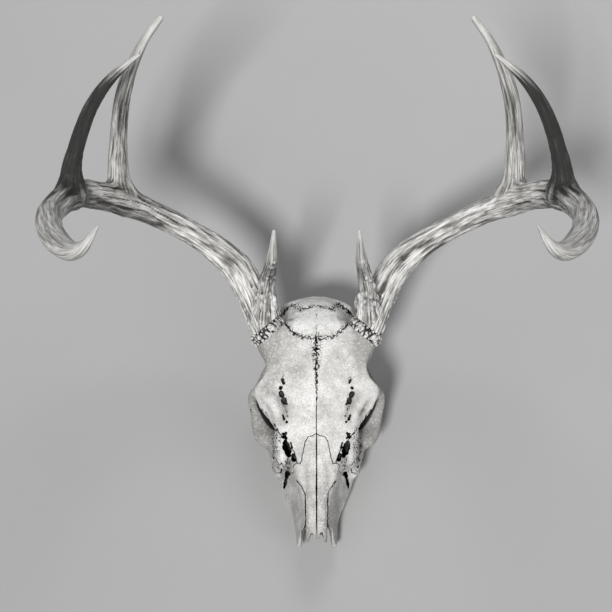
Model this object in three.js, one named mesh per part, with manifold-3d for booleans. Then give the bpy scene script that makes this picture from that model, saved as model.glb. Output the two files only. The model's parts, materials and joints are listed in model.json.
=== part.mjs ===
// Skull of a white-tailed deer buck with both antlers, without its lower jaw and premaxillae.
// Millimetres. +Z is up, +Y runs from the muzzle to the back of the skull, and +X is the skull's left side
// for someone who faces it. The skull rests on z = 0 on its cheek teeth and jugular processes.
//
// The right half is one implicit field in a frame whose y = 0 is the bregma. It is polygonised, thinned,
// parted into bones with 0.3 mm sutures, and mirrored. Antlers are made the same way and parted at their forks.
import * as THREE from "three";
import { mergeVertices } from "three/addons/utils/BufferGeometryUtils.js";
import Module from "manifold-3d";

const wasm = await Module();
wasm.setup();

// ---------------------------------------------------------------- driving dimensions
const SUTURE = 0.3; // gap between neighbouring bones
const MUZZLE_Y = -166; // front edge of the maxillae
const NASAL_TIP_Y = -171.5;
const PALATE_Y = -147; // front edge of the palate, behind the broken muzzle
const NASION_Y = -81;
const BREGMA_Y = 0;
const NUCHAL_Y = 52;
const TOOTH_ROW = { front: -121, back: -44, gum: 12 };
const ORBIT = { centre: [43.5, -57.5, 64.5], facing: [0.8, -0.56, 0.2], radius: 22.5, rim: 3.8 };
const BURR = { centre: [44, 6.9, 98.8], axis: [0.638, 0.68, 0.361], radius: 14.4, bead: 3.4, lobes: 13 };
const BURR_FLOOR = -3.7; // where the antler meets the pedicle, along the burr's axis
const BURR_TOP = 4.6;
const SKULL_STEP = 2.6; // polygoniser cell
const SKULL_TRIANGLES = 1330; // one half, before it is parted
const ANTLER_STEP = 3;
const ANTLER_TRIANGLES = 550;
const BURR_STEP = 2.4;
const BURR_TRIANGLES = 190;

// ---------------------------------------------------------------- small maths
const clamp = (v, lo, hi) => Math.min(hi, Math.max(lo, v));
const mix = (a, b, t) => a + (b - a) * t;

function smoothMin(a, b, k) {
  const h = Math.max(k - Math.abs(a - b), 0) / k;
  return Math.min(a, b) - (h * h * k) / 4;
}
const smoothMax = (a, b, k) => -smoothMin(-a, -b, k);

// A smooth curve through [position, value] pairs, level beyond both ends.
function profile(points) {
  const last = points.length - 1;
  const slope = points.map((_, i) => {
    const [a, b] = [points[Math.max(i - 1, 0)], points[Math.min(i + 1, last)]];
    return (b[1] - a[1]) / (b[0] - a[0]);
  });
  return (s) => {
    if (s <= points[0][0]) return points[0][1];
    if (s >= points[last][0]) return points[last][1];
    let i = 0;
    while (s > points[i + 1][0]) i++;
    const [[s0, v0], [s1, v1]] = [points[i], points[i + 1]];
    const d = s1 - s0;
    const t = (s - s0) / d;
    const [m0, m1] = [slope[i] * d, slope[i + 1] * d];
    return (
      v0 + t * (m0 + t * (3 * (v1 - v0) - 2 * m0 - m1 + t * (2 * (v0 - v1) + m0 + m1)))
    );
  };
}

// ---------------------------------------------------------------- distance fields
function ellipsoid(x, y, z, [cx, cy, cz], [rx, ry, rz]) {
  const [a, b, c] = [(x - cx) / rx, (y - cy) / ry, (z - cz) / rz];
  const k0 = Math.hypot(a, b, c);
  return (k0 * (k0 - 1)) / (Math.hypot(a / rx, b / ry, c / rz) + 1e-9);
}

// A round limb through points with a radius at each; flat under 1 thins it across x.
function limb(x, y, z, points, radii, flat = 1) {
  let best = Infinity;
  for (let i = 0; i + 1 < points.length; i++) {
    const [a, b] = [points[i], points[i + 1]];
    const [dx, dy, dz] = [(b[0] - a[0]) / flat, b[1] - a[1], b[2] - a[2]];
    const [px, py, pz] = [(x - a[0]) / flat, y - a[1], z - a[2]];
    const h = clamp((px * dx + py * dy + pz * dz) / (dx * dx + dy * dy + dz * dz), 0, 1);
    const d = Math.hypot(px - h * dx, py - h * dy, pz - h * dz) - mix(radii[i], radii[i + 1], h);
    best = Math.min(best, d);
  }
  return best;
}

// A trapezoid in x and z: half-widths at its bottom and top, with rounded corners.
function trapezoid(x, z, bottom, top, wide, narrow, round) {
  const half = (top - bottom) / 2 - round;
  const [w0, w1] = [wide - round, narrow - round];
  const [px, pz] = [Math.abs(x), z - (top + bottom) / 2];
  const [kx, kz] = [w1 - w0, 2 * half];
  const ax = px - Math.min(px, pz < 0 ? w0 : w1);
  const az = Math.abs(pz) - half;
  const h = clamp(((w1 - px) * kx + (half - pz) * kz) / (kx * kx + kz * kz), 0, 1);
  const [bx, bz] = [px - w1 + kx * h, pz - half + kz * h];
  const inside = bx < 0 && az < 0 ? -1 : 1;
  return inside * Math.sqrt(Math.min(ax * ax + az * az, bx * bx + bz * bz)) - round;
}

// ---------------------------------------------------------------- the skull's outlines
// Height of the skull's top along its midline.
const dorsal = profile([
  [-180, 48], [-172, 50.5], [-150, 56], [-125, 62], [-100, 68], [NASION_Y, 73], [-60, 82],
  [-43, 89.5], [-20, 100], [BREGMA_Y, 106.5], [15, 106], [33, 99], [45, 89], [NUCHAL_Y, 80],
]);
// Half-width of the face across the nasals, and low down along the gums.
const nasalWidth = profile([
  [-180, 9.5], [-165, 10.5], [-135, 13], [-112, 19], [-100, 23], [-85, 29], [-60, 30], [-30, 26],
]);
const gumWidth = profile([
  [-172, 17.2], [-165, 17.6], [-147, 19], [-137, 21], [-127, 24.5], [-117, 28.5], [-107, 32],
  [-97, 35.5], [-85, 37.5], [-70, 36], [-55, 31], [-40, 24], [-25, 18],
]);
const faceFloor = profile([[-180, 14], [-150, 12], [-60, 12], [-45, 17], [-30, 30]]);
// Half-width of the frontal bones' upper edge, over the orbits and back to the antlers.
const browWidth = profile([
  [-104, 15], [-95, 20], [-87, 24.5], [-79.5, 30.3], [-71.5, 37.4], [-63.6, 45], [-54.6, 51.2],
  [-45.5, 53.6], [-40, 53.2], [-33, 47.8], [-25.7, 44.7], [-17.8, 44.5], [-9.3, 47], [0, 46],
  [10, 38], [20, 30],
]);

// ---------------------------------------------------------------- the skull's solid parts
function face(x, y, z) {
  const section = trapezoid(x, z, faceFloor(y), dorsal(y), gumWidth(y), nasalWidth(y), 6);
  return smoothMax(section, Math.abs(y + 105) - 70, 6);
}

// The forehead: a thick plate from the nasals to the antlers, level from side to side.
function brow(x, y, z) {
  const top = dorsal(y) - 2.2 * (x / 50) ** 2;
  const slab = smoothMax(z - top, top - 9 - z, 3);
  return smoothMax(smoothMax(slab, Math.abs(x) - browWidth(y), 5), Math.abs(y + 42) - 58, 6);
}

function braincase(x, y, z) {
  const dome = ellipsoid(x, y, z, [0, 6, 66], [37.5, 48.5, 40.5]);
  const temple = ellipsoid(x, y, z, [24, 8, 56], [15, 34, 22]);
  const nape = ellipsoid(x, y, z, [0, 46, 70], [31, 8, 9]);
  const back = ellipsoid(x, y, z, [0, 42, 54], [37, 15, 26]);
  const shell = smoothMin(smoothMin(dome, temple, 8), smoothMin(nape, back, 8), 7);
  return smoothMax(shell, y - 57, 3);
}

// No part of the skull's roof but the orbits' rims and the pedicles stands above this.
function roofline(x, y, z) {
  return z - dorsal(y) + 2.2 * (x / 50) ** 2;
}

// Bone that joins the braincase to the face between the orbits.
function midSkull(x, y, z) {
  const core = ellipsoid(x, y, z, [0, -45, 62], [20, 52, 30]);
  const roof = ellipsoid(x, y, z, [0, -40, 82], [34, 42, 14]);
  return smoothMin(core, roof, 8);
}

// The orbit's own axes: facing outwards, up in its plane, and back in its plane.
const facing = new THREE.Vector3(...ORBIT.facing).normalize();
const upward = new THREE.Vector3(0, 0, 1).addScaledVector(facing, -facing.z).normalize();
const backward = new THREE.Vector3().crossVectors(upward, facing).normalize();

function inOrbit(x, y, z) {
  const p = new THREE.Vector3(x, y, z).sub(new THREE.Vector3(...ORBIT.centre));
  return [p.dot(backward), p.dot(upward), p.dot(facing)];
}

function orbitRim(x, y, z) {
  const [s, t, n] = inOrbit(x, y, z);
  return Math.hypot(Math.hypot(s, t) - ORBIT.radius, n * 0.75) - ORBIT.rim;
}

function cheek(x, y, z) {
  const body = ellipsoid(x, y, z, [44.5, -60, 41], [13, 20, 10.5]);
  const root = ellipsoid(x, y, z, [37, -68, 34], [8, 20, 10]);
  const tubercle = ellipsoid(x, y, z, [34, -90, 30], [6.5, 14, 9]);
  const lacrimal = ellipsoid(x, y, z, [30, -86, 55], [8.5, 20, 17]);
  return smoothMin(smoothMin(body, root, 6), smoothMin(tubercle, lacrimal, 8), 6);
}

const ARCH = [[57, -41, 49], [54, -26, 45.5], [48, -12, 46], [41, 0, 48.5], [35, 10, 51]];
function zygomaticArch(x, y, z) {
  const bar = limb(x, y, z, ARCH, [5, 4.6, 4.4, 5.5, 8], 0.62);
  const joint = ellipsoid(x, y, z, [35, 2, 42], [9, 9, 5]);
  return smoothMin(bar, joint, 5);
}

// Six cheek teeth, each a tapered crown; premolars are the three short front ones.
const TEETH = [11, 12, 12, 13, 15, 14];
const toothSide = profile([[-118, 25.5], [-100, 30.5], [-80, 33.5], [-60, 33.5], [-48, 31.5]]);
function toothRow(x, y, z) {
  let best = Infinity;
  let front = TOOTH_ROW.front;
  for (const length of TEETH) {
    const middle = front + length / 2;
    const width = length < 12.5 ? 5.6 : 6.6;
    const side = toothSide(middle) - width;
    const narrow = mix(1, 0.8, clamp((TOOTH_ROW.gum - z) / TOOTH_ROW.gum, 0, 1));
    const dx = Math.abs(Math.abs(x) - side) - width * narrow + 2;
    const dy = Math.abs(y - middle) - (length / 2 - 0.4) * mix(0.94, 1, narrow) + 2;
    const dz = Math.abs(z - 6) - 8;
    const crown = Math.hypot(Math.max(dx, 0), Math.max(dy, 0)) + Math.min(Math.max(dx, dy), 0) - 2;
    best = Math.min(best, smoothMax(crown, dz, 2));
    front += length;
  }
  return best;
}

function skullBase(x, y, z) {
  const side = Math.abs(x);
  const stem = limb(x, y, z, [[0, -40, 44], [0, 15, 40], [0, 48, 38]], [9, 10, 13]);
  const wing = limb(side, y, z, [[12, -52, 30], [11, -30, 28], [12, -16, 36]], [9, 8, 6], 0.35);
  const bulla = ellipsoid(side, y, z, [19, 19, 29], [8, 11, 8.5]);
  const condyle = ellipsoid(side, y, z, [12.5, 54, 37], [8.5, 9, 12]);
  const mastoid = ellipsoid(side, y, z, [33, 36, 48], [8, 11, 20]);
  const jugular = limb(side, y, z, [[30, 40, 38], [29, 43, 18], [27, 42, -3]], [8.5, 5.6, 4.2], 0.6);
  const ear = limb(side, y, z, [[26, 20, 42], [38, 23, 46]], [6, 5]);
  let d = smoothMin(stem, wing, 5);
  for (const part of [bulla, condyle, mastoid, jugular, ear]) d = smoothMin(d, part, 4);
  return d;
}

const PEDICLE = [[32, -5, 88], [44, 6.9, 98.8]];
const pedicle = (x, y, z) => limb(Math.abs(x), y, z, PEDICLE, [17, 14.2]);

// ---------------------------------------------------------------- the skull's hollows
function eyeSocket(x, y, z) {
  const [s, t, n] = inOrbit(x, y, z);
  const deep = Math.hypot(s / 20.5, t / 20.5, Math.min(n + 6, 0) / 26) - 1;
  return Math.max(deep * 20.5, -n - 40);
}

// The nasal passages, open at the muzzle. They follow the face inside its walls.
function noseHollow(x, y, z) {
  const wall = 4.5;
  const section = trapezoid(
    x, z, faceFloor(y) + 10, dorsal(y) - wall, gumWidth(y) - wall, nasalWidth(y) - wall, 3,
  );
  return smoothMax(section, y + 118, 8);
}

const vaultOfPalate = (x, y, z) =>
  ellipsoid(x, y, z, [0, -88, 7], [gumWidth(y) - 14, 66, 10]);

// Passage behind the palate, between the pterygoid wings.
const throat = (x, y, z) => limb(x, y, z, [[0, -58, 25], [0, -22, 22], [0, -8, 18]], [8, 8, 10]);
const foramenMagnum = (x, y, z) => limb(x, y, z, [[0, 40, 52], [0, 70, 48]], [8.5, 10.5]);

// The gap in front of the orbit, and a smaller one on the cheek below it.
const lacrimalGap = (x, y, z) =>
  limb(x, y, z, [[27.5, -87, 68], [24, -98, 64], [21, -106, 62]], [4.2, 5, 3]);
const cheekGap = (x, y, z) => limb(x, y, z, [[25.5, -109, 43], [29.5, -112, 27]], [3, 2.2]);

function rightHalf(xSigned, y, z) {
  const x = Math.abs(xSigned);
  let bone = smoothMin(face(x, y, z), brow(x, y, z), 8);
  bone = smoothMin(bone, midSkull(x, y, z), 8);
  bone = smoothMin(bone, braincase(x, y, z), 10);
  bone = smoothMin(bone, skullBase(x, y, z), 5);
  bone = smoothMin(bone, cheek(x, y, z), 7);
  bone = smoothMax(bone, roofline(x, y, z), 3);
  bone = smoothMax(bone, -eyeSocket(x, y, z), 4);
  bone = smoothMin(bone, orbitRim(x, y, z), 5);
  bone = smoothMin(bone, zygomaticArch(x, y, z), 4);
  bone = smoothMin(bone, pedicle(x, y, z), 10);
  bone = smoothMax(bone, -noseHollow(x, y, z), 2);
  bone = smoothMax(bone, -vaultOfPalate(x, y, z), 5);
  bone = smoothMax(bone, -throat(x, y, z), 4);
  bone = smoothMin(bone, toothRow(x, y, z), 1.5);
  for (const hole of [foramenMagnum, lacrimalGap, cheekGap]) {
    bone = smoothMax(bone, -hole(x, y, z), 1.5);
  }
  return bone;
}

// ---------------------------------------------------------------- the antlers
// Each limb is its centre line and the radius at each point.
const BEAM = {
  path: [
    [43.8, 6.9, 98.8], [53.7, 29.2, 108.4], [67.2, 54.7, 119.7], [84.3, 71.4, 127.5],
    [108.4, 84.6, 137.8], [138.3, 94.8, 152.3], [168.2, 97.7, 172], [192.1, 89, 200.2],
    [210.4, 72.1, 228.6], [222.5, 38, 260], [220.7, 10, 282], [210.7, -16, 303], [196.7, -36, 323],
    [183.7, -43, 344], [172.2, -37, 364],
  ],
  radii: [15, 14.4, 13.8, 12.3, 10.4, 10.3, 12, 12, 12, 11, 11, 10.4, 8.4, 5.2, 2.6],
};
const BROW_TINE = {
  path: [[44.7, 16, 106], [44.3, 29.7, 135.8], [42.4, 36.6, 150.8], [39.2, 43.4, 165.8], [37.2, 57.3, 192.4]],
  radii: [12, 7.4, 6.2, 5.4, 2.4],
};
const SECOND_TINE = {
  path: [
    [170.7, 100.5, 175.8], [174.5, 114.3, 192.2], [172.8, 130.9, 223.6], [169.6, 144.7, 250.2],
    [164.1, 155.4, 272.9], [157.2, 163.8, 290.9], [145.8, 173.4, 314.2], [131.4, 181.6, 334.4],
  ],
  radii: [12, 9.6, 7.4, 7, 6.6, 5.2, 3.8, 2.7],
};
const THIRD_TINE = {
  path: [
    [210, 71.6, 232.8], [209.2, 84.8, 248.9], [204.5, 93.4, 267.1], [198.1, 101.4, 286.1],
    [190.2, 109.7, 304.1], [180.9, 116.1, 320], [171, 121.9, 332.1], [159.7, 126.8, 342.6],
    [146.8, 131.5, 353.1],
  ],
  radii: [12, 8.6, 6.8, 6.4, 6, 5.3, 4.4, 3.4, 2.4],
};
const burrAxis = new THREE.Vector3(...BURR.axis).normalize();
const burrAside = new THREE.Vector3(0, 0, 1).addScaledVector(burrAxis, -burrAxis.z).normalize();
const burrAcross = new THREE.Vector3().crossVectors(burrAxis, burrAside);

// The coronet at the antler's foot: a ring of rounded lobes.
function burr(x, y, z) {
  const p = new THREE.Vector3(x, y, z).sub(new THREE.Vector3(...BURR.centre));
  const [s, t] = [p.dot(burrAside), p.dot(burrAcross)];
  const lobe = 0.9 * Math.cos(BURR.lobes * Math.atan2(t, s));
  const ring = Math.hypot(Math.hypot(s, t) - BURR.radius, p.dot(burrAxis) - 0.5) - BURR.bead - lobe;
  const plug = Math.max(Math.hypot(s, t) - BURR.radius, Math.abs(p.dot(burrAxis)) - 12);
  return smoothMin(ring, plug, 2);
}

function antlerField(x, y, z) {
  let d = limb(x, y, z, BEAM.path, BEAM.radii);
  for (const tine of [BROW_TINE, SECOND_TINE, THIRD_TINE]) {
    d = smoothMin(d, limb(x, y, z, tine.path, tine.radii), 9);
  }
  return d;
}

// ---------------------------------------------------------------- field to mesh
// Marching tetrahedra: six to a cell, so that the surface is always one closed manifold.
const CORNERS = [[0, 0, 0], [1, 0, 0], [0, 1, 0], [1, 1, 0], [0, 0, 1], [1, 0, 1], [0, 1, 1], [1, 1, 1]];
const TETRAHEDRA = [[0, 1, 3, 7], [0, 3, 2, 7], [0, 2, 6, 7], [0, 6, 4, 7], [0, 4, 5, 7], [0, 5, 1, 7]];

function polygonise(field, low, high, step) {
  const n = low.map((v, a) => Math.ceil((high[a] - v) / step) + 1);
  const place = (i) => [i % n[0], Math.floor(i / n[0]) % n[1], Math.floor(i / (n[0] * n[1]))];
  const value = new Float64Array(n[0] * n[1] * n[2]);
  for (let i = 0; i < value.length; i++) {
    const g = place(i);
    const edge = g.some((v, a) => v === 0 || v === n[a] - 1);
    const d = field(...g.map((v, a) => low[a] + v * step));
    value[i] = edge ? Math.max(d, 0.5) : d || 1e-6;
  }
  const points = [];
  const faces = [];
  const known = new Map();
  const crossing = (a, b) => {
    const key = Math.min(a, b) * value.length + Math.max(a, b);
    if (!known.has(key)) {
      const t = clamp(value[a] / (value[a] - value[b]), 0.02, 0.98);
      const [pa, pb] = [place(a), place(b)];
      points.push(new THREE.Vector3(...low.map((v, c) => v + step * mix(pa[c], pb[c], t))));
      known.set(key, points.length - 1);
    }
    return known.get(key);
  };
  // Faces are turned outwards by the middles of the edges they cross.
  const middle = ([a, b]) => new THREE.Vector3(...place(a)).add(new THREE.Vector3(...place(b)));
  const addFace = (edges, outward) => {
    const [a, b, c] = edges.map((edge) => crossing(...edge));
    const [p, q, r] = edges.map(middle);
    const normal = q.sub(p).cross(r.sub(p));
    faces.push(normal.dot(outward) > 0 ? [a, b, c] : [a, c, b]);
  };
  const centre = (list) =>
    list
      .reduce((sum, v) => sum.add(new THREE.Vector3(...place(v))), new THREE.Vector3())
      .divideScalar(list.length);
  for (let k = 0; k + 1 < n[2]; k++)
    for (let j = 0; j + 1 < n[1]; j++)
      for (let i = 0; i + 1 < n[0]; i++) {
        const cell = CORNERS.map(([a, b, c]) => i + a + n[0] * (j + b + n[1] * (k + c)));
        const within = cell.filter((v) => value[v] < 0).length;
        if (within === 0 || within === 8) continue;
        for (const tetrahedron of TETRAHEDRA) {
          const four = tetrahedron.map((v) => cell[v]);
          const inner = four.filter((v) => value[v] < 0);
          const outer = four.filter((v) => value[v] >= 0);
          if (!inner.length || !outer.length) continue;
          const outward = centre(outer).sub(centre(inner));
          if (inner.length === 2) {
            const [a, b] = inner;
            const [c, d] = outer;
            addFace([[a, c], [a, d], [b, d]], outward);
            addFace([[a, c], [b, d], [b, c]], outward);
          } else {
            const [one, three] = inner.length === 1 ? [inner[0], outer] : [outer[0], inner];
            addFace(three.map((v) => [one, v]), outward);
          }
        }
      }
  return { points, faces };
}

// A priority queue of [cost, ...] entries, cheapest first.
class Queue {
  items = [];
  push(item) {
    const q = this.items;
    q.push(item);
    let i = q.length - 1;
    while (i && q[(i - 1) >> 1][0] > item[0]) {
      q[i] = q[(i - 1) >> 1];
      i = (i - 1) >> 1;
    }
    q[i] = item;
  }
  pop() {
    const q = this.items;
    const top = q[0];
    const item = q.pop();
    if (!q.length) return top;
    let i = 0;
    for (;;) {
      let child = 2 * i + 1;
      if (child >= q.length) break;
      if (child + 1 < q.length && q[child + 1][0] < q[child][0]) child++;
      if (q[child][0] >= item[0]) break;
      q[i] = q[child];
      i = child;
    }
    q[i] = item;
    return top;
  }
}

// Thins a closed mesh to a number of triangles by collapsing the edges that change its shape least.
function thin({ points, faces }, target) {
  const around = points.map(() => new Set()); // faces at each vertex
  faces.forEach((f, i) => f.forEach((v) => around[v].add(i)));
  const normalOf = (f, moved, to) => {
    const [a, b, c] = f.map((v) => (v === moved ? to : points[v]));
    return b.clone().sub(a).cross(c.clone().sub(a));
  };
  const quadrics = points.map(() => new Float64Array(10));
  for (const f of faces) {
    const n = normalOf(f);
    const area = n.length();
    n.divideScalar(area || 1);
    const w = [n.x, n.y, n.z, -n.dot(points[f[0]])];
    for (const v of f) {
      let at = 0;
      for (let i = 0; i < 4; i++) for (let j = i; j < 4; j++) quadrics[v][at++] += area * w[i] * w[j];
    }
  }
  const costAt = (q, p) =>
    q[0] * p.x * p.x + 2 * q[1] * p.x * p.y + 2 * q[2] * p.x * p.z + 2 * q[3] * p.x + q[4] * p.y * p.y +
    2 * q[5] * p.y * p.z + 2 * q[6] * p.y + q[7] * p.z * p.z + 2 * q[8] * p.z + q[9];
  const bestPoint = (q, a, b) => {
    const matrix = new THREE.Matrix3().set(q[0], q[1], q[2], q[1], q[4], q[5], q[2], q[5], q[7]);
    const middle = a.clone().lerp(b, 0.5);
    const choices = [middle, a, b];
    if (Math.abs(matrix.determinant()) > 1e-3) {
      const solved = new THREE.Vector3(-q[3], -q[6], -q[8]).applyMatrix3(matrix.invert());
      if (solved.distanceTo(middle) < 2 * a.distanceTo(b)) choices.unshift(solved);
    }
    return choices.reduce((best, p) => (costAt(q, p) < costAt(q, best) ? p : best));
  };
  const stamp = points.map(() => 0);
  const queue = new Queue();
  const offer = (a, b) => {
    const q = quadrics[a].map((v, i) => v + quadrics[b][i]);
    const to = bestPoint(q, points[a], points[b]);
    const spread = 1e-3 * points[a].distanceToSquared(points[b]);
    queue.push([costAt(q, to) + spread, a, b, stamp[a], stamp[b], to, q]);
  };
  const neighbours = (v) => new Set([...around[v]].flatMap((f) => faces[f]).filter((u) => u !== v));
  faces.forEach((f) => f.forEach((v, i) => v < f[(i + 1) % 3] && offer(v, f[(i + 1) % 3])));
  let left = faces.length;
  while (left > target && queue.items.length) {
    const [, a, b, stampA, stampB, to, q] = queue.pop();
    if (stamp[a] !== stampA || stamp[b] !== stampB || stampA < 0 || stampB < 0) continue;
    const near = neighbours(b);
    if ([...neighbours(a)].filter((v) => near.has(v)).length !== 2) continue;
    const gone = [...around[a]].filter((f) => around[b].has(f));
    const turns = [a, b].some((v) =>
      [...around[v]].some((f) => {
        if (gone.includes(f)) return false;
        const [was, now] = [normalOf(faces[f]), normalOf(faces[f], v, to)];
        return was.dot(now) < 0.25 * was.length() * now.length();
      }),
    );
    if (turns) continue;
    points[a] = to;
    quadrics[a] = q;
    for (const f of gone) {
      for (const v of faces[f]) around[v].delete(f);
      left--;
    }
    for (const f of around[b]) {
      faces[f] = faces[f].map((v) => (v === b ? a : v));
      around[a].add(f);
    }
    around[b].clear();
    stamp[b] = -1;
    stamp[a]++;
    for (const v of neighbours(a)) offer(a, v);
  }
  const kept = new Set(around.flatMap((set) => [...set]));
  return { points, faces: faces.filter((_, i) => kept.has(i)) };
}

// ---------------------------------------------------------------- meshes and solids
// The largest closed shell of a mesh, as vertices and triangles, so that a cut leaves no crumbs.
function largestShell(vertices, triangles) {
  const parent = Array.from({ length: vertices.length / 3 }, (_, i) => i);
  const find = (v) => {
    while (parent[v] !== v) v = parent[v] = parent[parent[v]];
    return v;
  };
  for (let i = 0; i < triangles.length; i += 3) {
    parent[find(triangles[i])] = find(triangles[i + 1]);
    parent[find(triangles[i + 1])] = find(triangles[i + 2]);
  }
  const count = new Map();
  for (const v of triangles) count.set(find(v), (count.get(find(v)) ?? 0) + 1);
  const largest = [...count].reduce((best, entry) => (entry[1] > best[1] ? entry : best))[0];
  const used = new Map();
  const position = [];
  const index = [];
  for (const v of triangles) {
    if (find(v) !== largest) continue;
    if (!used.has(v)) {
      used.set(v, used.size);
      position.push(...vertices.subarray(3 * v, 3 * v + 3));
    }
    index.push(used.get(v));
  }
  return { position, index };
}

function solidFrom(position, index) {
  return new wasm.Manifold(
    new wasm.Mesh({
      numProp: 3,
      vertProperties: new Float32Array(position),
      triVerts: new Uint32Array(index),
    }),
  );
}

function solidOfField(field, low, high, step, triangles) {
  const { points, faces } = thin(polygonise(field, low, high, step), triangles);
  const used = new Map();
  const index = faces.flat().map((v) => {
    if (!used.has(v)) used.set(v, used.size);
    return used.get(v);
  });
  return solidFrom([...used.keys()].flatMap((v) => points[v].toArray()), index);
}

function solidOfGeometry(geometry) {
  const bare = geometry.index ? geometry.toNonIndexed() : geometry.clone();
  bare.deleteAttribute("normal");
  bare.deleteAttribute("uv");
  const merged = mergeVertices(bare, 1e-4);
  return solidFrom(merged.attributes.position.array, merged.index.array);
}

function geometryOf(solid) {
  const mesh = solid.getMesh();
  const { position, index } = largestShell(mesh.vertProperties, mesh.triVerts);
  const geometry = new THREE.BufferGeometry();
  geometry.setAttribute("position", new THREE.Float32BufferAttribute(position, 3));
  return geometry.setIndex(index);
}

function mirrored(geometry) {
  const made = geometry.clone().scale(-1, 1, 1);
  const index = made.index.array;
  for (let i = 0; i < index.length; i += 3) [index[i + 1], index[i + 2]] = [index[i + 2], index[i + 1]];
  return made;
}

// ---------------------------------------------------------------- cutters
// A closed outline moved outwards by d, for the gap beside a suture.
function grown(outline, d) {
  const area = outline.reduce((sum, [x, y], i) => {
    const [u, v] = outline[(i + 1) % outline.length];
    return sum + x * v - u * y;
  }, 0);
  const out = Math.sign(area) * d;
  return outline.map((p, i) => {
    const before = outline[(i + outline.length - 1) % outline.length];
    const after = outline[(i + 1) % outline.length];
    const side = new THREE.Vector2(after[0] - before[0], after[1] - before[1]).normalize();
    return [p[0] + side.y * out, p[1] - side.x * out];
  });
}

// Prisms from an outline in x and y, extruded up, and from one in y and z, extruded across x.
function planPrism(outline, low = -20, high = 130) {
  const shape = new THREE.Shape(outline.map(([x, y]) => new THREE.Vector2(x, y)));
  const made = new THREE.ExtrudeGeometry(shape, { depth: high - low, bevelEnabled: false });
  return solidOfGeometry(made.translate(0, 0, low));
}
function sidePrism(outline, near = -1, far = 90) {
  const shape = new THREE.Shape(outline.map(([y, z]) => new THREE.Vector2(y, z)));
  const made = new THREE.ExtrudeGeometry(shape, { depth: far - near, bevelEnabled: false });
  made.applyMatrix4(new THREE.Matrix4().set(0, 0, 1, near, 1, 0, 0, 0, 0, 1, 0, 0, 0, 0, 0, 1));
  return solidOfGeometry(made);
}
function box(low, high) {
  const size = high.map((v, a) => v - low[a]);
  const made = new THREE.BoxGeometry(...size);
  return solidOfGeometry(made.translate(...low.map((v, a) => v + size[a] / 2)));
}

// A tube round part of a limb, square-ended at its start.
function sleeve(points, radius, startGap = 0) {
  const path = points.map((p) => new THREE.Vector3(...p));
  const back = path[0].clone().sub(path[1]).normalize();
  path[0].addScaledVector(back, startGap);
  const curve = new THREE.CatmullRomCurve3(path);
  const shape = new THREE.Shape().absarc(0, 0, radius + startGap, 0, 2 * Math.PI);
  const steps = 3 * path.length;
  return solidOfGeometry(
    new THREE.ExtrudeGeometry(shape, { steps, curveSegments: 12, bevelEnabled: false, extrudePath: curve }),
  );
}

// A round hole from a point on the skull's top, down along a slant.
function bore([x, y, z], radius, depth, slant) {
  const made = new THREE.CylinderGeometry(radius, radius * 0.7, depth, 8);
  made.rotateX(Math.PI / 2 + slant);
  return solidOfGeometry(made.translate(x, y, z));
}
const SUPRAORBITAL = [{ at: [31, -50.2, 88], radius: 2.4 }, { at: [28.9, -54.5, 86], radius: 2.8 }];

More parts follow.
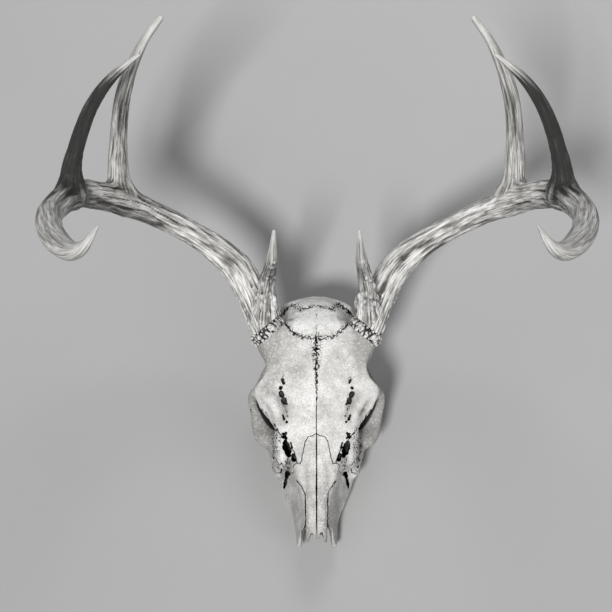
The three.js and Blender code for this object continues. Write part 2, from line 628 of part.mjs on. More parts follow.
// ---------------------------------------------------------------- bones
// Each bone is a region of the half skull: a plan outline (x, y) and a side outline (y, z).
// They are taken in this order, and each leaves what it doesn't hold to the next.
const NASO_FRONTAL = [
  [-2, -81], [0.9, -81], [3.6, -83], [7.1, -83], [9.8, -87], [11, -91.5], [12.5, -99.6], [14.2, -106.5],
];
const NASO_MAXILLARY = [
  [18, -105.5], [22, -107], [22.5, -113], [17.1, -119], [12.2, -127.5], [9.7, -133], [9.7, -190], [-2, -190],
];
const CORONAL = [[0, -2.5], [12, -1.8], [18, 0.6], [24, 6.3], [29, 14], [34, 24], [60, 24]];
const LAMBDOID = [[0, 34], [8, 33], [14, 30.5], [17, 37], [21, 45], [28, 42], [34, 34], [60, 34]];
const BONES = [
  {
    name: "nasal", paired: true,
    plan: [...NASO_FRONTAL, ...NASO_MAXILLARY],
    side: [[-190, 38], [-150, 46], [-118, 54], [-78, 64], [-78, 120], [-190, 120]],
  },
  {
    name: "frontal", paired: true,
    plan: [
      ...NASO_FRONTAL.slice().reverse(), ...CORONAL, [70, 24], [70, -45], [52, -56], [33, -80], [20, -96],
      [17.5, -104], [16.5, -107],
    ],
    side: [[-110, 58], [-82, 66], [-60, 72], [-44, 74], [-28, 82], [-12, 84], [26, 84], [26, 130], [-110, 130]],
  },
  {
    name: "lacrimal", paired: true,
    plan: [[12, -108], [14, -70], [36, -70], [38.6, -80], [38, -92], [35, -102], [22, -110]],
    side: [[-110, 50], [-88, 47], [-70, 47], [-66, 90], [-110, 90]],
  },
  {
    name: "zygomatic", paired: true,
    plan: [[32, -102], [25, -60], [40, -48], [46, -20], [51, -20], [66, -16], [70, -102]],
    side: [[-102, 34], [-70, 24], [-10, 36], [-10, 54], [-24, 60], [-30, 79], [-60, 79], [-84, 68], [-102, 50]],
  },
  {
    name: "maxilla", paired: true,
    plan: [[-2, -190], [60, -190], [60, -40], [13.5, -40], [13.5, -58], [-2, -58]],
    side: [[-190, -5], [-40, -5], [-40, 22], [-62, 40], [-72, 60], [-104, 70], [-190, 70]],
  },
  {
    name: "parietal", paired: false,
    plan: [[-2, -2.5], [12, -1.8], [18, 0.6], [19, -20], [60, -20], ...LAMBDOID.slice().reverse(), [-2, 34]],
    side: [[-22, 68], [12, 63], [34, 66], [50, 74], [50, 130], [-22, 130]],
  },
  {
    name: "occipital", paired: false,
    plan: [[-2, 24], [24, 30], [32, 34], [60, 34], [60, 80], [-2, 80]],
    side: [[20, 120], [20, 60], [32, 52], [30, 26], [36, -5], [80, -5], [80, 120]],
  },
  {
    name: "temporal", paired: true,
    plan: [[19, -35], [19, 8], [9.5, 8], [9.5, 34], [24, 60], [70, 60], [70, -35]],
    side: [[-40, 5], [60, 5], [60, 90], [-40, 90]],
  },
  {
    name: "palatine", paired: false,
    plan: [[-2, -150], [60, -150], [60, -30], [19, -30], [12, -34], [-2, -34]],
    side: [[-150, -5], [-20, -5], [-20, 120], [-150, 120]],
  },
  { name: "sphenoid", paired: false },
];

function wholeHalf() {
  const rough = solidOfField(rightHalf, [-9, -183, -9], [69, 72, 120], SKULL_STEP, SKULL_TRIANGLES);
  const quadrant = box([0, MUZZLE_Y - 12, 0], [80, 80, 130]);
  const frontEdge = [[-200, -5], [0, -5], [1, 16], [4, 30], [3, 60], [-200, 60]];
  const muzzle = sidePrism(frontEdge.map(([y, z]) => [Math.max(MUZZLE_Y + y, -200), z]), 9.9);
  const nasalTip = planPrism([
    [-1, NASAL_TIP_Y - 12], [-1, NASAL_TIP_Y + 2], [1, NASAL_TIP_Y + 1.5], [4.5, NASAL_TIP_Y + 7],
    [8, NASAL_TIP_Y], [10.5, NASAL_TIP_Y + 3], [10.5, NASAL_TIP_Y - 12],
  ]);
  const floorFront = box([-1, MUZZLE_Y - 20, -5], [12.5, PALATE_Y, 36]);
  const antlerSeat = burrDisc(BURR_FLOOR - SUTURE, 12, 23);
  const holes = SUPRAORBITAL.map(({ at, radius }) => bore(at, radius, 10, 0.2));
  const cuts = [muzzle, nasalTip, floorFront, antlerSeat, ...holes];
  return cuts.reduce((a, b) => a.subtract(b), rough.intersect(quadrant));
}

function material(color, roughness) {
  return new THREE.MeshStandardMaterial({ color, roughness, metalness: 0 });
}
const boneWhite = material(0xe2e0da, 0.62);
const antlerGrey = material(0xa9a59c, 0.55);

function addMesh(group, name, geometry, finish) {
  const mesh = new THREE.Mesh(geometry, finish);
  mesh.name = name;
  group.add(mesh);
}

function addBones(group) {
  let rest = wholeHalf();
  const wide = box([SUTURE / 2, -200, -10], [90, 90, 140]);
  for (const { name, paired, plan, side } of BONES) {
    const region = (gap) =>
      planPrism(grown(plan, gap)).intersect(sidePrism(grown(side, gap)));
    const bone = plan ? rest.intersect(region(0)) : rest;
    if (plan) rest = rest.subtract(region(SUTURE));
    if (paired) {
      const right = geometryOf(bone.intersect(wide));
      addMesh(group, name + "_left", right, boneWhite);
      addMesh(group, name + "_right", mirrored(right), boneWhite);
    } else {
      const half = geometryOf(bone);
      const both = solidOfGeometry(half).add(solidOfGeometry(mirrored(half)));
      addMesh(group, name, geometryOf(both), boneWhite);
    }
  }
}

// A disc across the burr's axis, from one distance along it to another.
function burrDisc(from, to, radius) {
  const made = new THREE.CylinderGeometry(radius, radius, to - from, 24);
  made.translate(0, (from + to) / 2, 0);
  made.applyQuaternion(new THREE.Quaternion().setFromUnitVectors(new THREE.Vector3(0, 1, 0), burrAxis));
  return solidOfGeometry(made.translate(...BURR.centre));
}

function addAntlers(group) {
  const coronet = solidOfField(burr, [18, -22, 70], [72, 36, 128], BURR_STEP, BURR_TRIANGLES);
  const whole = solidOfField(antlerField, [20, -60, 80], [248, 196, 380], ANTLER_STEP, ANTLER_TRIANGLES);
  let rest = whole.subtract(burrDisc(-40, BURR_TOP + SUTURE, 40));
  const forks = [
    ["tine_brow", BROW_TINE.path.slice(1), 15],
    ["tine_second", SECOND_TINE.path.slice(1), 17],
    ["tine_third", THIRD_TINE.path.slice(1), 17],
    ["beam_tip", BEAM.path.slice(9), 20],
    ["beam_middle", BEAM.path.slice(7, 10), 30],
  ];
  const made = [["burr", coronet.intersect(burrDisc(BURR_FLOOR, BURR_TOP, 40))]];
  for (const [name, path, radius] of forks) {
    made.push([name, rest.intersect(sleeve(path, radius))]);
    rest = rest.subtract(sleeve(path, radius, SUTURE));
  }
  made.push(["beam_lower", rest]);
  for (const [name, solid] of made) {
    const left = geometryOf(solid);
    addMesh(group, name + "_left", left, antlerGrey);
    addMesh(group, name + "_right", mirrored(left), antlerGrey);
  }
}

const skull = new THREE.Group();
skull.name = "deer_skull";
addBones(skull);
addAntlers(skull);
const extent = new THREE.Box3().setFromObject(skull);
skull.position.y = -(extent.min.y + extent.max.y) / 2; // the origin is the centre of the footprint

export default skull;
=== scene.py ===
"""A deer skull with both antlers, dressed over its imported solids.

Forms are distance fields in millimetres, in a frame whose y = 0 is the bregma, with +z up and +x the animal's
left. Each bone, burr and antler becomes one closed mesh in metres, in the frame of the solids.
"""
import json
import math

import bpy
import numpy as np
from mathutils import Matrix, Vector

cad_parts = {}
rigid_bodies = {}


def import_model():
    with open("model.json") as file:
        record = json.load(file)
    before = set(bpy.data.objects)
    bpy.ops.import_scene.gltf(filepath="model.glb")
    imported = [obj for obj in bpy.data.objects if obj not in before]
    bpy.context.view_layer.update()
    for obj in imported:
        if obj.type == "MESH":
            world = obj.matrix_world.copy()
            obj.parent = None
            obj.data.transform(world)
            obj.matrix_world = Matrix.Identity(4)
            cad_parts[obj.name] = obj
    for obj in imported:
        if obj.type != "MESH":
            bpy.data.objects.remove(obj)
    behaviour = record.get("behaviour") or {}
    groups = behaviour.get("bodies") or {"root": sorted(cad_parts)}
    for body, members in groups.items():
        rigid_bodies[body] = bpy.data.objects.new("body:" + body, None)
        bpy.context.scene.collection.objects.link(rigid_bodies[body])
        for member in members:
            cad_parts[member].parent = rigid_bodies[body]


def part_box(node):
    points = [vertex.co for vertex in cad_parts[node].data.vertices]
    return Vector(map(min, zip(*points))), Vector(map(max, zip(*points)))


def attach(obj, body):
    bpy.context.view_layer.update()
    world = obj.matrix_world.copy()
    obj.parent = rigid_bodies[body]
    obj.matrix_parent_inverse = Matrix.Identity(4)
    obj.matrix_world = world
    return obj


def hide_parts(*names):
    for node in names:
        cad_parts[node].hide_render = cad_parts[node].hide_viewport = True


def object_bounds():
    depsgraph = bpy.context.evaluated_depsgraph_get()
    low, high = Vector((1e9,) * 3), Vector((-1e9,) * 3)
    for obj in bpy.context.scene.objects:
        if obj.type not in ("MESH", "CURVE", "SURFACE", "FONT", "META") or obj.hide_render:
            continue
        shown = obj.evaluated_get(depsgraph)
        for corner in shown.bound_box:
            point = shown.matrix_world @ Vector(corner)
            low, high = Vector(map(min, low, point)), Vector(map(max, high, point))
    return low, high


for leftover in list(bpy.data.objects):
    bpy.data.objects.remove(leftover)
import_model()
CAD_LOW, CAD_HIGH = [list(corner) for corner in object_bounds()]

# ---------------------------------------------------------------- dimensions, in millimetres
NASAL_TIP_Y = -171.5
MUZZLE_Y = -166.0
PALATE_Y = -147.0
SHIFT_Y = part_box("nasal_left")[0].y * 1000 - NASAL_TIP_Y  # from the bregma's frame to the solids'
SUTURE = 0.15  # half of a suture's narrowest gap
SKULL_STEP = 0.66
ANTLER_STEP = 0.8
BURR_STEP = 0.5
CHUNK = 16  # cells along a side of one block of the grid
CORNER_REACH = 0.87  # from a cube's centre to its corner, over its side
SKULL_BOX = ((-66, -184, -2), (66, 60, 118))
ANTLER_BOX = ((20.0, -62, 80), (240.0, 190, 372))  # on the left; mirrored for the right
BURR_BOX = ((20.0, -18, 74), (68.0, 34, 124))

ORBIT = {"centre": (43.5, -57.5, 64.5), "facing": (0.8, -0.56, 0.2), "radius": 22.5, "rim": 3.8}
BURR = {"centre": (44.0, 6.9, 98.8), "axis": (0.638, 0.68, 0.361)}
BURR_FLOOR, BURR_TOP = -3.7, 4.6  # along the burr's axis
BURR_REACH = 22  # from its centre to past its beads
# rings of beads round the burr: height along its axis, radius, number of beads and their size
BURR_RINGS = ((-2.4, 14.8, 24, 1.7), (0.6, 15.4, 25, 1.95), (3.9, 14.4, 21, 1.6))


# ---------------------------------------------------------------- camera
TILT = math.radians(62.0)  # how steeply the photograph looks down
CAMERA_DISTANCE = 2.0
LENS = 132.19


def make_camera():
    target = Vector((-9.345, 22.328 + SHIFT_Y, 119.466)) / 1000
    away = Vector((0, -math.cos(TILT), math.sin(TILT)))
    data = bpy.data.cameras.new("camera")
    data.lens = LENS
    data.sensor_width = 36
    data.clip_start, data.clip_end = 0.1, 30
    camera = bpy.data.objects.new("camera", data)
    camera.location = target + CAMERA_DISTANCE * away
    camera.rotation_euler = (math.pi / 2 - TILT, 0, 0)
    bpy.context.scene.collection.objects.link(camera)
    bpy.context.scene.camera = camera


make_camera()


# ---------------------------------------------------------------- small maths
def smooth_min(a, b, k):
    h = np.maximum(k - np.abs(a - b), 0) / k
    return np.minimum(a, b) - h * h * (k / 4)


def smooth_max(a, b, k):
    return -smooth_min(-a, -b, k)


def smooth_step(low, high, v):
    t = np.clip((v - low) / (high - low), 0, 1)
    return t * t * (3 - 2 * t)


def bump(v, centre, width):
    return np.exp(-(((v - centre) / width) ** 2))


def profile(points):
    """A smooth curve through (position, value) pairs, level beyond both ends."""
    p = np.array(points, float)
    before, after = np.vstack([p[:1], p[:-1]]), np.vstack([p[1:], p[-1:]])
    slope = (after[:, 1] - before[:, 1]) / (after[:, 0] - before[:, 0])
    s = np.linspace(p[0, 0], p[-1, 0], 900)
    i = np.clip(np.searchsorted(p[:, 0], s, "right") - 1, 0, len(p) - 2)
    d = p[i + 1, 0] - p[i, 0]
    t = (s - p[i, 0]) / d
    v0, v1, m0, m1 = p[i, 1], p[i + 1, 1], slope[i] * d, slope[i + 1] * d
    v = v0 + t * (m0 + t * (3 * (v1 - v0) - 2 * m0 - m1 + t * (2 * (v0 - v1) + m0 + m1)))
    return lambda q: np.interp(q, s, v)


LATTICE = np.random.default_rng(20).random((32, 32, 32)) * 2 - 1


def noise(x, y, z, size, seed=0):
    """Smooth noise in -1 to 1 whose features are about size mm across."""
    parts = []
    for v, offset in ((x, 11.3), (y, 5.7), (z, 23.1)):
        t = v / size + (offset + 3.17 * seed)
        i = np.floor(t).astype(np.int64)
        f = t - i
        parts.append((i & 31, (i + 1) & 31, f * f * (3 - 2 * f)))
    (x0, x1, fx), (y0, y1, fy), (z0, z1, fz) = parts

    def along_x(j, k):
        a = LATTICE[x0, j, k]
        return a + (LATTICE[x1, j, k] - a) * fx

    low = along_x(y0, z0)
    low = low + (along_x(y1, z0) - low) * fy
    high = along_x(y0, z1)
    high = high + (along_x(y1, z1) - high) * fy
    return low + (high - low) * fz


# ---------------------------------------------------------------- distance fields
def ellipsoid(x, y, z, centre, radii):
    (cx, cy, cz), (rx, ry, rz) = centre, radii
    a, b, c = (x - cx) / rx, (y - cy) / ry, (z - cz) / rz
    k0 = np.sqrt(a * a + b * b + c * c)
    k1 = np.sqrt((a / rx) ** 2 + (b / ry) ** 2 + (c / rz) ** 2)
    return k0 * (k0 - 1) / (k1 + 1e-9)


def limb(x, y, z, points, radii, flat=1.0):
    """A round limb through points with a radius at each; flat under 1 thins it across x."""
    best = None
    for a, b, ra, rb in zip(points, points[1:], radii, radii[1:]):
        dx, dy, dz = (b[0] - a[0]) / flat, b[1] - a[1], b[2] - a[2]
        px, py, pz = (x - a[0]) / flat, y - a[1], z - a[2]
        h = np.clip((px * dx + py * dy + pz * dz) / (dx * dx + dy * dy + dz * dz), 0, 1)
        qx, qy, qz = px - h * dx, py - h * dy, pz - h * dz
        away = np.sqrt(qx * qx + qy * qy + qz * qz) + 1e-9
        d = away - (ra + (rb - ra) * h)
        if flat != 1:
            d = d * away / (np.sqrt((qx / flat) ** 2 + qy * qy + qz * qz) + 1e-9)
        best = d if best is None else np.minimum(best, d)
    return best


def trapezoid(x, z, bottom, top, wide, narrow, rounding):
    """A trapezoid in x and z with rounded corners: wide at its bottom, narrow at its top."""
    half = (top - bottom) / 2 - rounding
    w0, w1 = wide - rounding, narrow - rounding
    px, pz = np.abs(x), z - (top + bottom) / 2
    kx, kz = w1 - w0, 2 * half
    ax = px - np.minimum(px, np.where(pz < 0, w0, w1))
    az = np.abs(pz) - half
    h = np.clip(((w1 - px) * kx + (half - pz) * kz) / (kx * kx + kz * kz), 0, 1)
    bx, bz = px - w1 + kx * h, pz - half + kz * h
    inside = np.where((bx < 0) & (az < 0), -1, 1)
    return inside * np.sqrt(np.minimum(ax * ax + az * az, bx * bx + bz * bz)) - rounding


def outline(x, y, points):
    """Distance to a closed outline in a plane, negative inside."""
    nearest, sign = np.inf, 1.0
    for (x0, y0), (x1, y1) in zip(points, points[1:] + points[:1]):
        ex, ey = x1 - x0, y1 - y0
        wx, wy = x - x0, y - y0
        h = np.clip((wx * ex + wy * ey) / (ex * ex + ey * ey), 0, 1)
        bx, by = wx - ex * h, wy - ey * h
        nearest = np.minimum(nearest, bx * bx + by * by)
        above, below, left = y >= y0, y < y1, ex * wy > ey * wx
        sign = np.where((above & below & left) | ~(above | below | left), -sign, sign)
    return sign * np.sqrt(nearest)


def unit(v):
    v = np.array(v, float)
    return v / np.linalg.norm(v)


def axes_of(axis):
    """An axis, and the two directions across it: one upwards, one level."""
    along = unit(axis)
    up = unit(np.array([0, 0, 1.0]) - along * along[2])
    return along, up, np.cross(up, along)


def local(x, y, z, centre, directions):
    px, py, pz = x - centre[0], y - centre[1], z - centre[2]
    return [px * d[0] + py * d[1] + pz * d[2] for d in directions]


# ---------------------------------------------------------------- the skull's outlines
dorsal = profile([
    (-180, 48), (-172, 50.5), (-150, 56), (-125, 62), (-100, 68), (-81, 73), (-60, 82),
    (-43, 89.5), (-20, 100), (0, 106.5), (15, 106), (33, 99), (45, 89), (52, 80),
])
nasal_width = profile([
    (-180, 9.5), (-165, 10.5), (-135, 13), (-112, 19), (-100, 23), (-85, 29), (-60, 30), (-30, 26),
])
gum_width = profile([
    (-172, 17.2), (-165, 17.6), (-147, 19), (-137, 21), (-127, 24.5), (-117, 28.5), (-107, 32),
    (-97, 35.5), (-85, 37.5), (-70, 36), (-55, 31), (-40, 24), (-25, 18),
])
face_floor = profile([(-180, 14), (-150, 12), (-60, 12), (-45, 17), (-30, 30)])
brow_width = profile([
    (-104, 15), (-95, 20), (-87, 24.5), (-79.5, 30.3), (-71.5, 37.4), (-63.6, 45), (-54.6, 51.2),
    (-45.5, 53.6), (-40, 53.2), (-33, 47.8), (-25.7, 44.7), (-17.8, 44.5), (-9.3, 47), (0, 46),
    (10, 38), (20, 30),
])
tooth_side = profile([(-118, 25.5), (-100, 30.5), (-80, 33.5), (-60, 33.5), (-48, 31.5)])

FACING, FACE_UP, FACE_BACK = axes_of(ORBIT["facing"])
BURR_AXIS, BURR_UP, BURR_SIDE = axes_of(BURR["axis"])
ARCH = [(57, -41, 49), (54, -26, 45.5), (48, -12, 46), (41, 0, 48.5), (35, 10, 51)]
TEETH = [11, 12, 12, 13, 15, 14]
TEETH_FRONT = -121


def tooth_row(x, y, z):
    """Six cheek teeth: three short premolars, then three molars with two lobes each."""
    best = 99.0
    front = TEETH_FRONT
    for number, length in enumerate(TEETH):
        middle = front + length / 2
        width = 5.6 if length < 12.5 else 6.6
        side = float(tooth_side(middle)) - width
        narrow = 0.8 + 0.2 * np.clip(z / 12, 0, 1)
        lobes = 1 if number < 3 else 2
        turn = 2 * math.pi * lobes * (y - middle) / length
        swell = (0.8 * np.cos(turn) + 0.35 * np.cos(2 * turn) - 0.2) * smooth_step(16, 9, z)
        dx = np.abs(x - side) - width * narrow + 1.5 - swell
        dy = np.abs(y - middle) - (length / 2 - 0.3) + 1.3
        dz = np.abs(z - 6) - 8
        crown = np.hypot(np.maximum(dx, 0), np.maximum(dy, 0)) + np.minimum(np.maximum(dx, dy), 0) - 1.3
        crown = smooth_max(crown, dz, 2)
        for lobe in range(lobes):
            centre = middle + length * ((lobe + 0.5) / lobes - 0.5)
            reach = length / lobes / 2
            ring = np.hypot((x - side + 1.6) / 3.4, (y - centre) / (0.78 * reach)) - 1
            crescent = np.abs(ring) * 3.4 - 0.85 + 0.5 * smooth_step(-1, -4, x - side)
            crown = smooth_max(crown, -np.maximum(crescent, z - 2.2), 0.6)
        best = np.minimum(best, crown)
        front += length
    return best


def skull_base(x, y, z):
    stem = limb(x, y, z, [(0, -40, 44), (0, 15, 40), (0, 48, 38)], [9, 10, 13])
    d = smooth_min(stem, limb(x, y, z, [(12, -52, 30), (11, -30, 28), (12, -16, 36)], [9, 8, 6], 0.35), 5)
    for part in (
        ellipsoid(x, y, z, (19, 19, 29), (8, 11, 8.5)),
        ellipsoid(x, y, z, (12.5, 54, 37), (8.5, 9, 12)),
        ellipsoid(x, y, z, (33, 36, 48), (8, 11, 20)),
        limb(x, y, z, [(30, 40, 38), (29, 43, 18), (27, 42, -3)], [8.5, 5.6, 4.2], 0.6),
        limb(x, y, z, [(26, 20, 42), (38, 23, 46)], [6, 5]),
    ):
        d = smooth_min(d, part, 4)
    return d


def braincase(x, y, z):
    dome = ellipsoid(x, y, z, (0, 6, 66), (37.5, 48.5, 40.5))
    temple = ellipsoid(x, y, z, (24, 8, 56), (15, 34, 22))
    nape = ellipsoid(x, y, z, (0, 46, 70), (31, 8, 9))
    back = ellipsoid(x, y, z, (0, 42, 54), (37, 15, 26))
    shell = smooth_min(smooth_min(dome, temple, 8), smooth_min(nape, back, 8), 7)
    return smooth_max(shell, y - 57, 3)


# Openings that run down and back into the bone, as points on its surface, radii there, and a depth: two
# foramina over the orbit with small ones about them, the crossed struts and the vacuity before the orbit,
# the gap at the nasal's corner, the slot low on the cheek, and a foramen in the parietal.
SHAFTS = [
    ([(31.5, -48.1, 85.8), (30.9, -49.2, 85.4)], [1.95, 2.1], 3.0),
    ([(29.1, -53.9, 84.0), (28.6, -54.8, 83.6)], [2.2, 1.9], 3.2),
    ([(31.8, -43.4, 88.0)], [1.15], 7),
    ([(29.2, -39.6, 90.2), (30.3, -36.9, 91.4)], [0.75, 0.6], 4),
    ([(26.6, -56.8, 83.0)], [0.65], 5),
    ([(29.8, -66.0, 79.6), (28.8, -69.4, 78.4)], [0.6, 0.85], 4),
    ([(26.4, -71.5, 77.2)], [0.7], 4),
    ([(25.6, -66.8, 79.2)], [0.5], 3),
    ([(27.2, -80.2, 72.4), (29.3, -84.0, 70.8)], [0.9, 1.0], 10),
    ([(29.5, -80.8, 72.0), (26.9, -84.6, 70.8)], [0.8, 1.0], 10),
    ([(27.9, -87.2, 70.0), (26.9, -91, 68.4), (25.4, -95.4, 66.8), (24.3, -99.2, 65.4)],
     [1.5, 3.0, 3.2, 1.4], 19),
    ([(22.9, -88.6, 70.6), (21.7, -93.0, 69.0)], [0.55, 0.7], 5),
    ([(20.9, -98.2, 66.6), (19.7, -102.2, 65.0)], [0.8, 2.0], 12),
    ([(25.6, -106.0, 42.5), (27.0, -108.4, 35.0), (28.0, -110.4, 29.0), (29.2, -111.4, 21.0)],
     [1.9, 0.95, 1.45, 0.65], 9),
    ([(23.6, -107.8, 44.5)], [0.9], 5),
    ([(0, 21.5, 105)], [0.55], 4),
]
TUNNELS = [
    ([(60, -46.5, 51), (50, -46.5, 49)], [0.9, 0.8]),
    ([(34, -44, 70), (22, -38, 68)], [3.2, 2.6]),
    ([(27, -33, 58), (18, -24, 55)], [2.6, 2.0]),
    ([(9, 60, 36), (14, 47, 42)], [1.7, 1.4]),
]
GROOVE = [(29.5, -34, 93), (31, -46, 88), (29.2, -58, 82), (27.5, -76, 75)]


def shaft(a, y, z, points, radii, depth):
    """An opening along one slanted direction, as deep as given below its points."""
    level = [(p[0], p[1] * math.sin(TILT) + p[2] * math.cos(TILT), 0) for p in points]
    across = y * math.sin(TILT) + z * math.cos(TILT)
    height = z * math.sin(TILT) - y * math.cos(TILT)
    bottom = min(p[2] * math.sin(TILT) - p[1] * math.cos(TILT) for p in points) - depth
    if len(level) == 1:
        wall = np.hypot(a - level[0][0], across - level[0][1]) - radii[0]
    else:
        wall = limb(a, across, 0 * z, level, radii)
    return np.maximum(wall, bottom - height)


def half_skull(a, y, z):
    """The skull much as the solids have it. Its sides are alike, so a is the distance from the midline."""
    crown = z + 0.010 * np.minimum(a * a, 150.0)
    face = trapezoid(a, crown, face_floor(y), dorsal(y), gum_width(y), nasal_width(y), 6)
    bone = smooth_max(face, np.abs(y + 105) - 70, 6)
    top = dorsal(y) - 2.2 * (a / 50) ** 2
    slab = smooth_max(z - top, top - 9 - z, 3)
    slab = smooth_max(smooth_max(slab, a - brow_width(y), 4), np.abs(y + 42) - 58, 6)
    bone = smooth_min(bone, slab, 8)
    core = ellipsoid(a, y, z, (0, -45, 62), (20, 52, 30))
    bone = smooth_min(bone, smooth_min(core, ellipsoid(a, y, z, (0, -40, 82), (34, 42, 14)), 8), 8)
    bone = smooth_min(bone, braincase(a, y, z), 10)
    bone = smooth_min(bone, skull_base(a, y, z), 5)
    cheek = smooth_min(ellipsoid(a, y, z, (44.5, -60, 41), (13, 20, 10.5)),
                       ellipsoid(a, y, z, (37, -68, 34), (8, 20, 10)), 6)
    front = smooth_min(ellipsoid(a, y, z, (34, -90, 30), (6.5, 14, 9)),
                       ellipsoid(a, y, z, (30, -86, 55), (8.5, 20, 17)), 8)
    bone = smooth_min(bone, smooth_min(cheek, front, 6), 7)
    bone = smooth_max(bone, z - top, 3)
    n, t, s = local(a, y, z, ORBIT["centre"], (FACING, FACE_UP, FACE_BACK))
    deep = np.sqrt((s * s + t * t) / 20.5**2 + (np.minimum(n + 6, 0) / 26) ** 2) - 1
    socket = smooth_max(np.maximum(deep * 20.5, -n - 40), z - top + 4.5, 3)
    bone = smooth_max(bone, -socket, 4)
    rim = np.hypot(np.hypot(s, t) - ORBIT["radius"], n * 0.75) - ORBIT["rim"]
    bone = smooth_min(bone, rim, 8)
    brow = limb(a, y, z, [(45.5, -56, 78.2), (41, -62.5, 77), (34.5, -70, 74.3)], [2.4, 2.6, 2.2])
    bone = smooth_min(bone, brow, 8)
    arch = limb(a, y, z, ARCH, [5, 4.6, 4.4, 5.5, 8], 0.62)
    bone = smooth_min(bone, smooth_min(arch, ellipsoid(a, y, z, (35, 2, 42), (9, 9, 5)), 5), 4)
    bone = smooth_min(bone, limb(a, y, z, [(32, -5, 88), (44, 6.9, 98.8)], [17, 14.2]), 10)
    nose = trapezoid(a, z, face_floor(y) + 10, dorsal(y) - 4.5, gum_width(y) - 4.5, nasal_width(y) - 4.5, 3)
    scrolls = smooth_min(limb(a, y, z, [(5.2, -152, 40), (7, -116, 44)], [1.6, 5]),
                         limb(a, y, z, [(6.4, -148, 27), (8, -116, 32)], [1.8, 5.5]), 1)
    scrolls = np.minimum(scrolls, np.maximum(a - 0.9, np.abs(y + 130) - 20))
    nose = np.maximum(smooth_max(nose, y + 118, 8), -scrolls)
    bone = smooth_max(bone, -nose, 2)
    bone = smooth_max(bone, -ellipsoid(a, y, z, (0, -88, 7), (gum_width(y) - 14, 66, 10)), 5)
    bone = smooth_max(bone, -limb(a, y, z, [(0, -58, 25), (0, -22, 22), (0, -8, 18)], [8, 8, 10]), 4)
    bone = smooth_min(bone, tooth_row(a, y, z), 1.5)
    bone = smooth_max(bone, -limb(a, y, z, [(0, 40, 52), (0, 70, 48)], [8.5, 10.5]), 1.5)
    along, up, side = local(a, y, z, BURR["centre"], (BURR_AXIS, BURR_UP, BURR_SIDE))
    seat = np.maximum(np.abs(along - 4) - (4 - BURR_FLOOR + 0.3), np.hypot(up, side) - 23)
    return np.maximum(bone, -seat)


NASO_FRONTAL = [
    (-2, -81), (0.9, -81), (3.6, -83), (7.1, -83), (9.8, -87), (11, -91.5), (12.5, -99.6), (14.2, -106.5),
]
NASO_MAXILLARY = [
    (18, -105.5), (22, -107), (22.5, -113), (17.1, -119), (12.2, -127.5), (9.7, -133), (9.7, -190),
    (-2, -190),
]
CORONAL = [(0, -2.5), (12, -1.8), (18, 0.6), (24, 6.3), (29, 14), (34, 24), (60, 24)]
LAMBDOID = [(0, 34), (8, 33), (14, 30.5), (17, 37), (21, 45), (28, 42), (34, 34), (60, 34)]
PARIETAL_PLAN = [(-2, -2.5)] + CORONAL[1:-1] + LAMBDOID[:-1][::-1] + [(-2, 34)]


def roughness_of_bone(x, y, z):
    """How far the living surface stands proud of the plain form, on points near it."""
    a = np.abs(x)
    swell = 0.35 * noise(x, y, z, 13, 1) + 0.16 * noise(x, y, z, 4.5, 2) + 0.07 * noise(x, y, z, 1.7, 3)
    # rough muscle scars on the occiput, temples and cheek
    scar = smooth_step(30, 48, y) + 0.6 * bump(a, 36, 8) * smooth_step(-25, 5, y)
    scar = scar + 0.5 * bump(y, -80, 14) * smooth_step(24, 34, a)
    swell = swell + 0.22 * scar * noise(x, y, z, 2.4, 4)
    # lengthwise grain along the face
    swell = swell + 0.10 * smooth_step(-60, -90, y) * noise(2.2 * x, 0.28 * y, 2.2 * z, 3.0, 5)
    # temporal line beside the parietals, and the crest behind
    line = limb(a, y, 0 * z, [(18.5, 33, 0), (18, 20, 0), (20, 9, 0), (29, 1, 0)], [0, 0, 0, 0])
    swell = swell + 0.55 * bump(line, 0, 1.7) * smooth_step(84, 92, z)
    # a shallow spongy channel runs through the foramina over the orbit
    channel = limb(a, y, z, GROOVE, [1.5, 3.0, 3.0, 1.8])
    open_bone = smooth_step(2.0, -2.5, channel)
    ends = bump(y, -69, 5) + bump(y, -36, 5) + 0.25
    pits = np.minimum(noise(x, y, z, 1.35, 7) + 0.10, 0)
    swell = swell + open_bone * (-0.25 + 1.9 * np.clip(ends, 0, 1) * pits)
    # spongy bone beside the orbit's front edge and along the maxilla's tubercle
    sponge = bump(a, 34, 4) * bump(y, -84, 8) + bump(a, 37, 3.5) * bump(y, -94, 12)
    sponge = sponge + 0.8 * bump(a, 26, 4) * bump(y, -104, 5)
    swell = swell + 1.9 * np.clip(sponge, 0, 1) * pits
    # pits along the back part of the frontal suture, spreading towards the bregma
    reach = 1.6 + 2.8 * smooth_step(-40, -8, y)
    along = np.exp(-((x / reach) ** 2)) * smooth_step(-50, -25, y) * smooth_step(4, -2, y)
    back = bump(outline(a, y, PARIETAL_PLAN), 0, 2.2) * smooth_step(-6, 0, y) * smooth_step(60, 75, z)
    back = back * (0.7 + 1.3 * bump(a, 19, 7) * smooth_step(22, 30, y))
    swell = swell + (4.6 * along + 4.2 * np.clip(back, 0, 1.4)) * pits
    return swell


